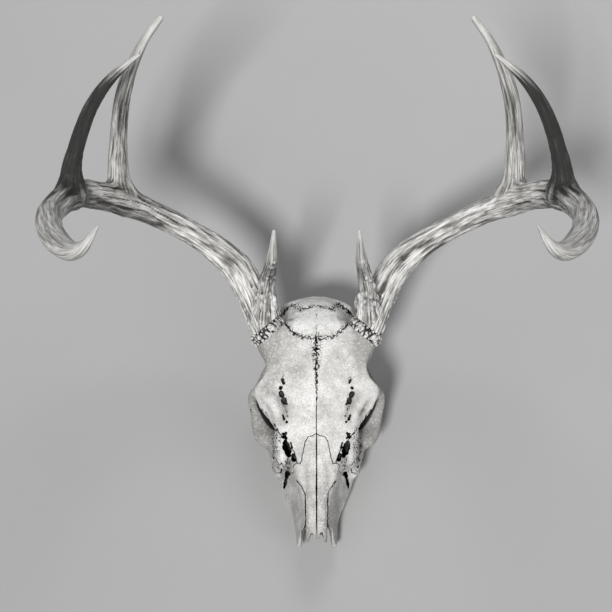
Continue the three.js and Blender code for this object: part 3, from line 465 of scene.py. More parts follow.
def front_cut(x, y, z):
    """Broken front ends: two prongs on each nasal, a ragged edge on each maxilla, the palate behind."""
    a = np.abs(x)
    ragged = noise(x, 0 * y, 0.5 * z, 1.5, 8)
    prongs = NASAL_TIP_Y + 2.3 - 2.5 * np.cos(2 * math.pi * (a - 7.5) / 6.7) + 1.1 * ragged
    prongs = np.maximum(prongs + 0.9 * bump(x, 4.6, 1.5), NASAL_TIP_Y + 0.1)
    edge = MUZZLE_Y + 1.2 + 2.2 * bump(z, 33, 7) - 1.2 * bump(z, 18, 5) + 1.2 * noise(x, 0 * y, z, 2.2, 18)
    edge = edge + 1.1 * np.maximum(16.6 - a, 0) * smooth_step(24, 36, z)
    palate = PALATE_Y + 1.2 * noise(x, 0 * y, 0 * z, 3.0, 19) - 5 * bump(a, 0, 2.5)
    low = palate + (edge - palate) * np.maximum(smooth_step(10.5, 14.0, a), smooth_step(33, 39, z))
    return np.where((a < 9.6) & (z > 36), prongs, low) - y


def passes(a, y, z, points, margin):
    """Whether a block of points comes within a margin of the box round some others."""
    low, high = np.min(points, 0) - margin, np.max(points, 0) + margin
    return all(v.min() < high[i] and v.max() > low[i] for i, v in enumerate((a, y, z)))


def skull(x, y, z, fine=True):
    a = np.abs(x)
    d = half_skull(a, y, z)
    if fine:
        ragged = noise(x, y, z, 1.8, 9)
        for points, radii, depth in SHAFTS:
            if passes(a, y, z, points, max(radii) + depth + 3):
                rough = (0.12 + 0.18 * max(radii)) * ragged
                d = smooth_max(d, rough - shaft(a, y, z, points, radii, depth), 0.5)
        for points, radii in TUNNELS:
            if passes(a, y, z, points, max(radii) + 3):
                d = smooth_max(d, 0.3 * ragged - limb(a, y, z, points, radii), 0.8)
    shape = d.shape
    near = np.abs(d) < 3
    if fine and near.any():
        at = [np.broadcast_to(v, shape)[near] for v in (x, y, z)]
        enamel = smooth_step(12.5, 9, at[2]) * smooth_step(-36, -42, at[1])
        d[near] -= roughness_of_bone(*at) * (1 - 0.9 * enamel)
    d = np.maximum(d, front_cut(x, y, z))
    return np.maximum(d, 0.02 - z)


# ---------------------------------------------------------------- bones
# name, paired, plan outline in x and y, side outline in y and z. Each takes what those before it leave.
BONES = [
    ("nasal", True, NASO_FRONTAL + NASO_MAXILLARY,
     [(-190, 38), (-150, 46), (-118, 54), (-78, 64), (-78, 120), (-190, 120)]),
    ("frontal", True,
     NASO_FRONTAL[::-1] + CORONAL
     + [(70, 24), (70, -45), (52, -56), (33, -80), (20, -96), (17.5, -104), (16.5, -107)],
     [(-110, 58), (-82, 66), (-60, 72), (-44, 74), (-28, 82), (-12, 84), (26, 84), (26, 130), (-110, 130)]),
    ("lacrimal", True, [(12, -108), (14, -70), (36, -70), (38.6, -80), (38, -92), (35, -102), (22, -110)],
     [(-110, 50), (-88, 47), (-70, 47), (-66, 90), (-110, 90)]),
    ("zygomatic", True, [(32, -102), (25, -60), (40, -48), (46, -20), (51, -20), (66, -16), (70, -102)],
     [(-102, 34), (-70, 24), (-10, 36), (-10, 54), (-24, 60), (-30, 79), (-60, 79), (-84, 68), (-102, 50)]),
    ("maxilla", True, [(-2, -190), (60, -190), (60, -40), (13.5, -40), (13.5, -58), (-2, -58)],
     [(-190, -5), (-40, -5), (-40, 22), (-62, 40), (-72, 60), (-104, 70), (-190, 70)]),
    ("parietal", False,
     [(-2, -2.5), (12, -1.8), (18, 0.6), (19, -20), (60, -20)] + LAMBDOID[::-1] + [(-2, 34)],
     [(-22, 68), (12, 63), (34, 66), (50, 74), (50, 130), (-22, 130)]),
    ("occipital", False, [(-2, 24), (24, 30), (32, 34), (60, 34), (60, 80), (-2, 80)],
     [(20, 120), (20, 60), (32, 52), (30, 26), (36, -5), (80, -5), (80, 120)]),
    ("temporal", True, [(19, -35), (19, 8), (9.5, 8), (9.5, 34), (24, 60), (70, 60), (70, -35)],
     [(-40, 5), (60, 5), (60, 90), (-40, 90)]),
    ("palatine", False, [(-2, -150), (60, -150), (60, -30), (19, -30), (12, -34), (-2, -34)],
     [(-150, -5), (-20, -5), (-20, 120), (-150, 120)]),
    ("sphenoid", False, None, None),
]
midline_wander = profile([(-180, 0.12), (-81, 0.25), (-60, 0.5), (-45, 1.3), (-20, 2.4), (-4, 3.2), (6, 0.5)])
midline_gap = profile([
    (-180, 0.14), (-165, 0.16), (-145, 0.22), (-125, 0.2), (-105, 0.1), (-92, 0.26), (-81, 0.04), (-60, 0.0),
])


def suture_wander(a, y):
    face = 0.45 + 0.3 * smooth_step(-75, -60, y) + 0.6 * smooth_step(24, 30, a)
    front = 1.9 * bump(y, 2, 9) * smooth_step(30, 20, a)
    back = 2.2 * bump(y, 34, 9) * (1 + 0.5 * bump(a, 20, 8))
    return face + front + back


def bone_fields(x, y, z):
    """A field for each bone and side over one block of the grid."""
    d = skull(x, y, z)
    fields = {}
    if d.min() > 0:
        return fields
    a = np.abs(x)
    wander = suture_wander(a, y) + 1.4 * smooth_step(76, 66, z) * smooth_step(-60, -45, y)
    plan_x = a + wander * noise(x, y, 0.7 * z, 2.0, 11)
    plan_y = y + wander * noise(x, y, 0.7 * z, 2.0, 12)
    side_y = y + 1.3 * noise(y, z, 0 * y, 2.3, 13)
    side_z = z + 1.3 * noise(y, z, 0 * y, 2.3, 14)
    dots = np.maximum(noise(x, y, z, 1.5, 15) - 0.12, 0)
    places = 0.9 * smooth_step(-72, -45, y) + 0.9 * smooth_step(28, 34, a) * smooth_step(-112, -100, y)
    gap = SUTURE + dots * places
    beside_nasal = smooth_step(-108, -122, y) * smooth_step(24, 20, a) * smooth_step(30, 40, z)
    gap = gap + (0.16 + 0.2 * noise(x, y, z, 6, 22)) * beside_nasal
    split = x + midline_wander(y) * noise(x, y, 0 * x, 2.0, 16)
    split_gap = gap + np.where(z > 36, midline_gap(y), 0.0)
    taken = None
    low, high = (np.array([v.min() for v in (a, y, z)]) - 4, np.array([v.max() for v in (a, y, z)]) + 4)
    for name, paired, plan, side in BONES:
        own = d
        if plan:
            (px0, py0), (px1, py1) = np.min(plan, 0), np.max(plan, 0)
            (sy0, sz0), (sy1, sz1) = np.min(side, 0), np.max(side, 0)
            y0, y1 = max(py0, sy0), min(py1, sy1)
            if px1 < low[0] or px0 > high[0] or y1 < low[1] or y0 > high[1] or sz1 < low[2] or sz0 > high[2]:
                continue
            region = np.maximum(outline(plan_x, plan_y, plan), outline(side_y, side_z, side))
            own = np.maximum(own, region + gap)
        if taken is not None:
            own = np.maximum(own, gap - taken)
        if plan:
            taken = region if taken is None else np.minimum(taken, region)
        if own.min() >= 0:
            continue
        if paired:
            fields[name + "_left"] = np.maximum(own, split_gap - split)
            fields[name + "_right"] = np.maximum(own, split_gap + split)
        else:
            fields[name] = own
    return fields


def paint_bone(p, normal):
    """Vertex values that the bone material reads."""
    x, y, z = p
    # cavity: painted shade, darker where bone stands close outside the surface
    out = p + 2.6 * normal
    cavity = 1 - skull(out[0], out[1], out[2], fine=False) / 2.6
    # recess: broader painted shade, darker where bone lies within 9 mm outside the surface
    far = p + 9.0 * normal
    recess = 1 - skull(far[0], far[1], far[2], fine=False) / 9.0
    a = np.abs(x)
    # how far a point lies below the plain form: in a pit, a suture or an opening; the deeper, the more
    # painted shade
    depth = -np.maximum(half_skull(a, y, z), np.maximum(front_cut(x, y, z), 0.02 - z) + 1.5)
    # the sutures of the crown are rows of specks rather than open lines
    plate_edge = outline(a, y, PARIETAL_PLAN)
    seam = np.maximum(bump(x, 0, 3.5) * smooth_step(-56, -40, y), bump(plate_edge, 0, 3.5))
    seam = seam * smooth_step(66, 76, z)
    broken = smooth_step(0.0, 0.3, noise(x, y, z, 1.5, 21))
    cavity = np.maximum(cavity, (depth - 0.35) / 0.9 * (1 - 0.8 * seam * (1 - broken)))
    # specks: where pits cluster along the sutures, the groove over the orbit and beside its front edge; the
    # material paints shade in them as dark specks
    spread = 1.2 + 3.6 * smooth_step(-42, -8, y)
    specks = bump(x, 0, spread) * smooth_step(-60, -36, y) * smooth_step(5, -1, y)
    wide = 2.6 + 1.6 * bump(a, 19, 8) * smooth_step(22, 30, y)
    specks = np.maximum(specks, 0.9 * bump(plate_edge, 0, wide)) * smooth_step(60, 72, z)
    around = limb(a, y, z, GROOVE, [1.0, 2.5, 2.5, 1.0])
    specks = np.maximum(specks, 0.75 * smooth_step(3, -1, around) * (bump(y, -36, 5) + bump(y, -68, 7)))
    specks = np.maximum(specks, 0.7 * bump(a, 35, 4) * bump(y, -88, 12))
    # painted shade: darker on the temples, beside the nasals, on the muzzle's sides and low on the skull,
    # with a grey patch on each side of the forehead; painted light on the parietal and on the band above the
    # occiput, where plate is negative
    temples = smooth_step(22, 40, a) * smooth_step(-45, -14, y) * 1.25
    forehead = 0.55 * bump(a, 17, 9) * bump(y, -26, 13)
    nasal_side = 0.6 * bump(a, 8.5, 2.6) * smooth_step(-95, -115, y)
    nasal_side = nasal_side + 0.3 * smooth_step(14, 22, a) * smooth_step(-120, -135, y)
    lower = 0.55 * smooth_step(72, 45, z) + 0.5 * smooth_step(33, 40, a) * smooth_step(82, 70, z)
    plate = -0.75 * smooth_step(26, 16, a) * bump(y, 18, 14)
    plate = plate - 0.6 * smooth_step(28, 38, y) * smooth_step(60, 80, z)
    shade_and_tone = temples + forehead + nasal_side + lower + plate
    # painted shade in the orbits: the sockets and the inner side of their rims are painted near black, and
    # the bone below and round them darker
    n, t, s = local(a, y, z, ORBIT["centre"], (FACING, FACE_UP, FACE_BACK))
    ring = np.hypot(t, s)
    socket = smooth_step(23, 19, ring) * smooth_step(2, -3, n) * smooth_step(-44, -36, n)
    socket = socket * smooth_step(-31, -37, y)
    shade_and_tone = shade_and_tone + 1.0 * smooth_step(29, 21, ring) * smooth_step(74, 64, z) * smooth_step(-16, -6, n)
    recess = np.maximum(recess, 1.35 * socket)
    enamel = smooth_step(11.5, 9.5, z + 0.6 * noise(x, y, z, 3, 17)) * smooth_step(-38, -43, y)
    return {
        "cavity": np.clip(cavity, 0, 1.5),
        "recess": np.clip(recess, 0, 1.5),
        "shade_and_tone": np.clip(shade_and_tone, -0.7, 1.3),
        "enamel": enamel,
        "specks": np.clip(specks, 0, 1),
    }


# ---------------------------------------------------------------- antlers
BEAM = ([
    (43.8, 6.9, 98.8), (53.7, 29.2, 108.4), (67.2, 54.7, 119.7), (84.3, 71.4, 127.5),
    (108.4, 84.6, 137.8), (138.3, 94.8, 152.3), (168.2, 97.7, 172), (192.1, 89, 200.2),
    (210.4, 72.1, 228.6), (222.5, 38, 260), (220.7, 10, 282), (210.7, -16, 303), (196.7, -36, 323),
    (183.7, -43, 344), (172.2, -37, 364),
], [13.9, 13.6, 13.6, 12.3, 10.4, 10.3, 12, 12, 12, 11, 11, 10.4, 8.2, 4.6, 1.2])
BROW_TINE = ([
    (44.7, 16, 106), (44.3, 29.7, 135.8), (42.4, 36.6, 150.8), (39.2, 43.4, 165.8), (37.2, 57.3, 192.4),
], [12, 7.4, 6.2, 5.2, 1.5])
SECOND_TINE = ([
    (170.7, 100.5, 175.8), (174.5, 114.3, 192.2), (172.8, 130.9, 223.6), (169.6, 144.7, 250.2),
    (164.1, 155.4, 272.9), (157.2, 163.8, 290.9), (145.8, 173.4, 314.2), (131.4, 181.6, 334.4),
], [12, 9.6, 7.4, 7, 6.6, 5.2, 3.8, 2.7])
THIRD_TINE = ([
    (210, 71.6, 232.8), (209.2, 84.8, 248.9), (204.5, 93.4, 267.1), (198.1, 101.4, 286.1),
    (190.2, 109.7, 304.1), (180.9, 116.1, 320), (171, 121.9, 332.1), (159.7, 126.8, 342.6),
    (146.8, 131.5, 353.1),
], [12, 8.6, 6.8, 6.4, 6, 5.3, 4.4, 3.2, 1.7])
TIP_REACH = (62, 16, 34, 30)  # how far back the tips of beam, brow, second and third tine are polished
# where the antler is painted darker as shade: place, reach and share
DARK_PLACES = [
    ((197, 102, 288), 44, 1.35), ((208, 84, 250), 24, 1.0), ((176, 119, 326), 24, 0.8),
    ((172, 138, 238), 40, 0.3), ((42, 38, 154), 17, 0.75), ((44, 28, 132), 12, 0.4),
    ((206, 62, 240), 26, 0.35), ((150, 92, 158), 26, 0.3),
]


def bead(x, y, z, centre, radius, along, stretch):
    """A knob drawn out along a direction."""
    px, py, pz = x - centre[0], y - centre[1], z - centre[2]
    run = px * along[0] + py * along[1] + pz * along[2]
    return np.sqrt(px * px + py * py + pz * pz - run * run * (1 - 1 / stretch**2) + 1e-9) - radius


class Limb:
    """A tapering limb on a smooth curve. It knows how far along and round it each point lies."""

    def __init__(self, path, radii, furrow, seed, pearls=()):
        p = np.array(path, float)
        r = np.array(radii, float)
        ends = np.vstack([2 * p[:1] - p[1:2], p, 2 * p[-1:] - p[-2:-1]])
        points, sizes = [], []
        for i in range(len(p) - 1):
            a, b, c, d = ends[i:i + 4]
            count = max(2, int(np.linalg.norm(c - b) / 4))
            for t in np.arange(count) / count:
                square, cube = 2 * a - 5 * b + 4 * c - d, 3 * b - a - 3 * c + d
                points.append(0.5 * (2 * b + (c - a) * t + square * t**2 + cube * t**3))
                sizes.append(r[i] + (r[i + 1] - r[i]) * t)
        self.p = np.array(points + [p[-1]])
        self.r = np.array(sizes + [r[-1]])
        step = np.linalg.norm(np.diff(self.p, axis=0), axis=1)
        self.s = np.concatenate([[0], np.cumsum(step)])
        self.length = self.s[-1]
        self.frames = self.turned_frames()
        self.furrow = furrow
        self.seed = seed
        self.pearls = self.scatter(*pearls) if pearls else []

    def turned_frames(self):
        tangent = unit(self.p[1] - self.p[0])
        u = unit(np.cross(tangent, (0.3, 0.2, 1.0)))
        frames = []
        for a, b in zip(self.p, self.p[1:]):
            tangent = unit(b - a)
            u = unit(u - tangent * np.dot(u, tangent))
            frames.append((u, np.cross(tangent, u)))
        return frames

    def scatter(self, count, low, high, size):
        """Pearls: small knobs on the surface between two distances along the limb."""
        rng = np.random.default_rng(100 + self.seed)
        knobs = []
        for _ in range(count):
            s = low + (high - low) * rng.random() ** 1.5
            i = min(np.searchsorted(self.s, s), len(self.frames) - 1)
            turn = rng.random() * 2 * math.pi
            u, v = self.frames[i]
            radius = np.interp(s, self.s, self.r)
            centre = self.p[i] + (u * math.cos(turn) + v * math.sin(turn)) * (radius - 0.3)
            fade = 1 - 0.5 * (s - low) / (high - low)
            along = unit(self.p[i + 1] - self.p[i])
            knobs.append((centre, size * (0.5 + 0.7 * rng.random()) * fade, along, 1.0 + 1.6 * rng.random()))
        return knobs

    def field(self, x, y, z, fine=True):
        """Distance, place along the limb, and the direction round it, near this block of points; or None."""
        centre = np.array([x.mean(), y.mean(), z.mean()])
        half = max(np.ptp(x), np.ptp(y), np.ptp(z)) * CORNER_REACH
        away = np.linalg.norm((self.p[:-1] + self.p[1:]) / 2 - centre, axis=1)
        close = np.nonzero(away < half + self.r[:-1] + 10)[0]
        if not len(close):
            return None
        best = s = cu = cv = None
        for i in close:
            a, b = self.p[i], self.p[i + 1]
            e = b - a
            px, py, pz = x - a[0], y - a[1], z - a[2]
            h = (px * e[0] + py * e[1] + pz * e[2]) / (e @ e)
            h = np.clip(h, 0, 1)
            qx, qy, qz = px - h * e[0], py - h * e[1], pz - h * e[2]
            d = np.sqrt(qx * qx + qy * qy + qz * qz) - (self.r[i] + (self.r[i + 1] - self.r[i]) * h)
            u, v = self.frames[i]
            du, dv = qx * u[0] + qy * u[1] + qz * u[2], qx * v[0] + qy * v[1] + qz * v[2]
            along = self.s[i] + (self.s[i + 1] - self.s[i]) * h
            if best is None:
                best, s, cu, cv = d, along, du, dv
            else:
                better = d < best
                best = np.where(better, d, best)
                s, cu, cv = np.where(better, along, s), np.where(better, du, cu), np.where(better, dv, cv)
        size = np.hypot(cu, cv) + 1e-6
        cu, cv = 10 * cu / size, 10 * cv / size
        ridge = np.zeros(best.shape)
        if fine:
            near = np.abs(best) < 5
            ridge[near] = self.relief(s[near], cu[near], cv[near])
        return best, s, cu, cv, ridge

    def relief(self, s, u, v):
        """Furrows along the limb, deepest near its foot and gone where the tip is polished."""
        depth = self.furrow * smooth_step(self.length, 0.3 * self.length, s) + 0.08
        thick = np.interp(s, self.s, self.r) / 10
        waver = 1.5 * noise(u, v, s, 24, self.seed)
        wide = noise(u + waver, v - waver, 0.08 * s, 3.9, self.seed + 1)
        narrow = noise(u - waver, v + waver, 0.07 * s, 2.0, self.seed + 2)
        grain = noise(u, v, 0.25 * s, 1.2, self.seed + 3)
        course = np.abs(noise(u + waver, v + waver, 0.04 * s, 6.5, self.seed + 5))
        furrow = smooth_step(0.11, 0.0, course) * smooth_step(-0.25, 0.2, noise(u, v, s, 30, self.seed + 6))
        ridge = 0.55 * wide + 1.0 * (0.4 - np.abs(narrow)) + 0.3 * grain - 1.1 * furrow
        lumps = 0.35 * noise(u, v, 0.6 * s, 7, self.seed + 4)
        return np.clip(thick, 0.35, 1.2) * (depth * ridge + 0.5 * depth * lumps) + 0.04 * grain


def make_antler(seed):
    return [
        Limb(*BEAM, 1.15, seed, (90, 3, 58, 1.9)),
        Limb(*BROW_TINE, 0.9, seed + 20, (75, 12, 66, 1.9)),
        Limb(*SECOND_TINE, 0.6, seed + 40),
        Limb(*THIRD_TINE, 0.65, seed + 60),
    ]


def antler_field(limbs, x, y, z, fine=True):
    d = nearest = None
    ridge = total = 0.0
    for part in limbs:
        found = part.field(x, y, z, fine)
        if found is None:
            continue
        weight = np.exp(np.clip(-found[0] / 2.0, -30, 30))
        ridge, total = ridge + weight * found[4], total + weight
        if d is None:
            d, nearest = found[0], found[:4]
        else:
            closer = found[0] < nearest[0]
            nearest = [np.where(closer, f, g) for f, g in zip(found, nearest)]
            d = smooth_min(d, found[0], 9)
    if d is None:
        return None, None
    if fine:
        d = d - ridge / total
        low, high = np.array([v.min() for v in (x, y, z)]), np.array([v.max() for v in (x, y, z)])
        for knob in [knob for part in limbs for knob in part.pearls]:
            reach = knob[1] * knob[3] + 3
            if (knob[0] > low - reach).all() and (knob[0] < high + reach).all():
                d = smooth_min(d, bead(x, y, z, *knob), 0.8)
    along = local(x, y, z, BURR["centre"], (BURR_AXIS,))[0]
    d = np.maximum(d, BURR_TOP + 0.25 - along)
    high = [1000 * CAD_HIGH[0] - 0.15, 1000 * CAD_HIGH[1] - SHIFT_Y - 0.15, 1000 * CAD_HIGH[2] - 0.15]
    for v, top in zip((x, y, z), high):
        d = np.maximum(d, v - top)
    return d, nearest


def antler_maker(limbs, side):
    """Fields and paint for the antler of one side; the limbs themselves are on the +x side."""

    def fields(x, y, z):
        full = np.broadcast_arrays(side * x, y, z)
        d, _ = antler_field(limbs, *full)
        return {} if d is None else {"antler": d}

    def paint(p, normal):
        x, y, z = side * p[0], p[1], p[2]
        plain, (_, s, u, v) = antler_field(limbs, x, y, z, fine=False)
        # cavity: painted shade, darker where the antler stands close outside the surface
        out = p + 2.2 * normal
        beyond = antler_field(limbs, side * out[0], out[1], out[2])[0]
        cavity = 1 - beyond / 2.2 if beyond is not None else 0 * x
        at = np.array([x, y, z]).T

        def near_to(place, reach):
            return bump(np.linalg.norm(at - np.array(place), axis=1), 0, reach)

        tip = sum(near_to(part.p[-1], reach) for part, reach in zip(limbs, TIP_REACH))
        dark = sum(share * near_to(place, reach) for place, reach, share in DARK_PLACES)
        # painted shade: darker on the undersides, and on the lower edges that face forwards and down
        under = smooth_step(0.15, -0.75, normal[2])
        under = under + 0.9 * smooth_step(-0.05, 0.8, -0.8 * normal[1] - 0.6 * normal[2])
        return {
            "cavity": np.clip(cavity, 0, 1.5),
            # height: how far the surface stands above the plain limb; the material paints shade in the
            # furrows from it
            "height": np.clip(0.5 + plain / 2.4, 0, 1),
            "tip": np.clip(tip, 0, 1),
            "dark": np.clip(dark + 0.5 * under, 0, 1.4),
            "grain": np.array([u, v, s]).T / 1000,
        }

    return fields, paint


def burr_maker(seed, side, limbs):
    """The coronet: uneven rings of beads on a collar, with painted shade in the crevices between them."""
    rng = np.random.default_rng(seed)
    beads = []
    for height, radius, count, size in BURR_RINGS:
        phase = rng.random()
        for i in range(count):
            turn = 2 * math.pi * (i + phase + 0.45 * (rng.random() - 0.5)) / count
            out = radius + 1.1 * (rng.random() - 0.5)
            lift = height + 1.5 * (rng.random() - 0.5)
            at = np.array(BURR["centre"]) + lift * BURR_AXIS
            at = at + out * (math.cos(turn) * BURR_UP + math.sin(turn) * BURR_SIDE)
            lean = unit(BURR_AXIS + 0.9 * (rng.random(3) - 0.5))
            beads.append((at, size * (0.55 + 0.7 * rng.random()), lean, 1.0 + 0.9 * rng.random()))

    def plain(x, y, z):
        along, up, across = local(x, y, z, BURR["centre"], (BURR_AXIS, BURR_UP, BURR_SIDE))
        out = np.hypot(up, across)
        collar = np.hypot(np.maximum(out - 12.6, 0), along - 0.5) - 2.5
        return smooth_min(collar, np.maximum(out - 12.9, np.abs(along) - 8), 2)

    def whole(x, y, z):
        d = plain(x, y, z)
        for knob in beads:
            d = smooth_min(d, bead(x, y, z, *knob), 0.45)
        d = d - 0.2 * noise(x, y, z, 1.3, seed) - 0.25 * noise(x, y, z, 2.9, seed + 1)
        beam, _ = antler_field(limbs, x, y, z)
        if beam is not None:
            d = np.maximum(d, 0.15 - beam)
        return np.maximum(d, 0.15 - half_skull(x, y, z))

    def fields(x, y, z):
        return {"burr": whole(*np.broadcast_arrays(side * x, y, z))}

    def paint(p, normal):
        out = p + 1.5 * normal
        beyond = whole(side * out[0], out[1], out[2])
        base = plain(side * p[0], p[1], p[2])
        # painted shade: cavity darkens the crevices between the beads, and height darkens the collar below
        # them
        return {
            "cavity": np.clip(1.15 - beyond / 1.4, 0, 1.5),
            "height": np.clip(0.05 + base / 2.6, 0, 1),
            "tip": 0 * base,
            "dark": 0 * base,
            "grain": p.T / 1000,
        }

    return fields, paint


def near_burr(x, y, z, span):
    centre = (BURR["centre"][0] - abs(x.mean()), BURR["centre"][1] - y.mean(), BURR["centre"][2] - z.mean())
    return math.hypot(*centre) < CORNER_REACH * span + BURR_REACH


# ---------------------------------------------------------------- field to mesh
CORNERS = np.array([(i & 1, i >> 1 & 1, i >> 2 & 1) for i in range(8)])
EDGES = [(a, a | bit) for a in range(8) for bit in (1, 2, 4) if not a & bit]


class Net:
    """One closed surface, gathered block by block as a surface net."""

    def __init__(self):
        self.keys, self.points, self.quads, self.values = [], [], [], []

    def add(self, f, first, step, low, counts, paint):
        inside = f < 0
        count = np.zeros(tuple(n - 1 for n in f.shape), np.int8)
        for i, j, k in CORNERS:
            count += inside[i:i + count.shape[0], j:j + count.shape[1], k:k + count.shape[2]]
        cells = np.argwhere((count > 0) & (count < 8))
        if not len(cells):
            return
        corner = np.array([f[tuple((cells + c).T)] for c in CORNERS])
        total, hits = np.zeros((len(cells), 3)), np.zeros(len(cells))
        for a, b in EDGES:
            crossed = (corner[a] < 0) != (corner[b] < 0)
            t = np.where(crossed, corner[a] / np.where(crossed, corner[a] - corner[b], 1), 0)[:, None]
            total += np.where(crossed[:, None], CORNERS[a] + t * (CORNERS[b] - CORNERS[a]), 0)
            hits += crossed
        place = low + (first + cells + total / hits[:, None]) * step
        slope = np.array([sum((2 * CORNERS[c][axis] - 1) * corner[c] for c in range(8)) for axis in range(3)])
        normal = slope / (np.linalg.norm(slope, axis=0) + 1e-9)
        self.keys.append((first + cells) @ counts)
        self.points.append(place)
        self.values.append(paint(place.T, normal))
        n = CHUNK
        for axis in range(3):
            one, two = (axis + 1) % 3, (axis + 2) % 3
            here = inside[:n, :n, :n]
            there = np.roll(inside, -1, axis)[:n, :n, :n]
            for solid, order in ((True, 1), (False, -1)):
                edges = np.argwhere((here == solid) & (there != solid))
                if not len(edges):
                    continue
                ring = []
                for back_one, back_two in ((1, 1), (0, 1), (0, 0), (1, 0)):
                    cell = first + edges
                    cell[:, one] -= back_one
                    cell[:, two] -= back_two
                    ring.append(cell @ counts)
                self.quads.append(np.array(ring[::order]).T)

    def finish(self):
        """Points in mm, quads, and vertex values of the largest connected part."""
        keys, points, quads = map(np.concatenate, (self.keys, self.points, self.quads))
        values = {k: np.concatenate([v[k] for v in self.values]) for k in self.values[0]}
        order = np.argsort(keys)
        keys = keys[order]
        at = np.searchsorted(keys, quads)
        at = np.minimum(at, len(keys) - 1)
        quads = at[(keys[at] == quads).all(1)]
        label = np.arange(len(keys))
        while True:
            lowest = label[quads].min(1)
            before = label.copy()
            for c in range(4):
                np.minimum.at(label, quads[:, c], lowest)
                np.minimum.at(label, before[quads[:, c]], lowest)
            label = label[label]
            label = label[label]
            if (label == before).all():
                break
        main = np.bincount(label[quads[:, 0]]).argmax()
        keep = label == main
        renumber = np.cumsum(keep) - 1
        quads = renumber[quads[keep[quads[:, 0]]]]
        return points[order][keep], quads, {k: v[order][keep] for k, v in values.items()}


def nets_of(fields, paint, low, high, step, margin):
    """Surface nets of every field over a box. Blocks that are far from all surfaces are passed over."""
    low = np.array(low, float)
    size = np.ceil((np.array(high) - low) / step / CHUNK).astype(int) + 1
    cells = size * CHUNK + 2
    counts = np.array([1, cells[0], cells[0] * cells[1]])
    nets = {}
    span = CHUNK * step
    for i in range(size[0]):
        for j in range(size[1]):
            for k in range(size[2]):
                first = np.array([i, j, k]) * CHUNK
                start = low + first * step
                probe = [start[c] + span * np.array([0, 0.25, 0.5, 0.75, 1.0]) for c in range(3)]
                if not margin(*np.ix_(*probe), span):
                    continue
                grid = [start[c] + step * np.arange(CHUNK + 1) for c in range(3)]
                found = fields(*np.ix_(*grid))
                for name, f in found.items():
                    if f.min() < 0 <= f.max():
                        nets.setdefault(name, Net()).add(f, first, step, low, counts, paint)
    return {name: net.finish() for name, net in nets.items()}


def make_object(name, mesh, material):
    points, quads, values = mesh
    data = bpy.data.meshes.new(name)
    place = points.copy()
    place[:, 1] += SHIFT_Y
    data.vertices.add(len(place))
    data.vertices.foreach_set("co", (place / 1000).astype(np.float32).ravel())
    data.loops.add(quads.size)
    data.loops.foreach_set("vertex_index", quads.astype(np.int32).ravel())
    data.polygons.add(len(quads))
    data.polygons.foreach_set("loop_start", np.arange(0, quads.size, 4, dtype=np.int32))
    data.polygons.foreach_set("use_smooth", np.ones(len(quads), bool))
    for key, value in values.items():
        vector = value.ndim == 2
        layer = data.attributes.new(key, "FLOAT_VECTOR" if vector else "FLOAT", "POINT")
        layer.data.foreach_set("vector" if vector else "value", value.astype(np.float32).ravel())
    data.update(calc_edges=True)
    data.materials.append(material)
    made = bpy.data.objects.new(name, data)
    bpy.context.scene.collection.objects.link(made)
    return made


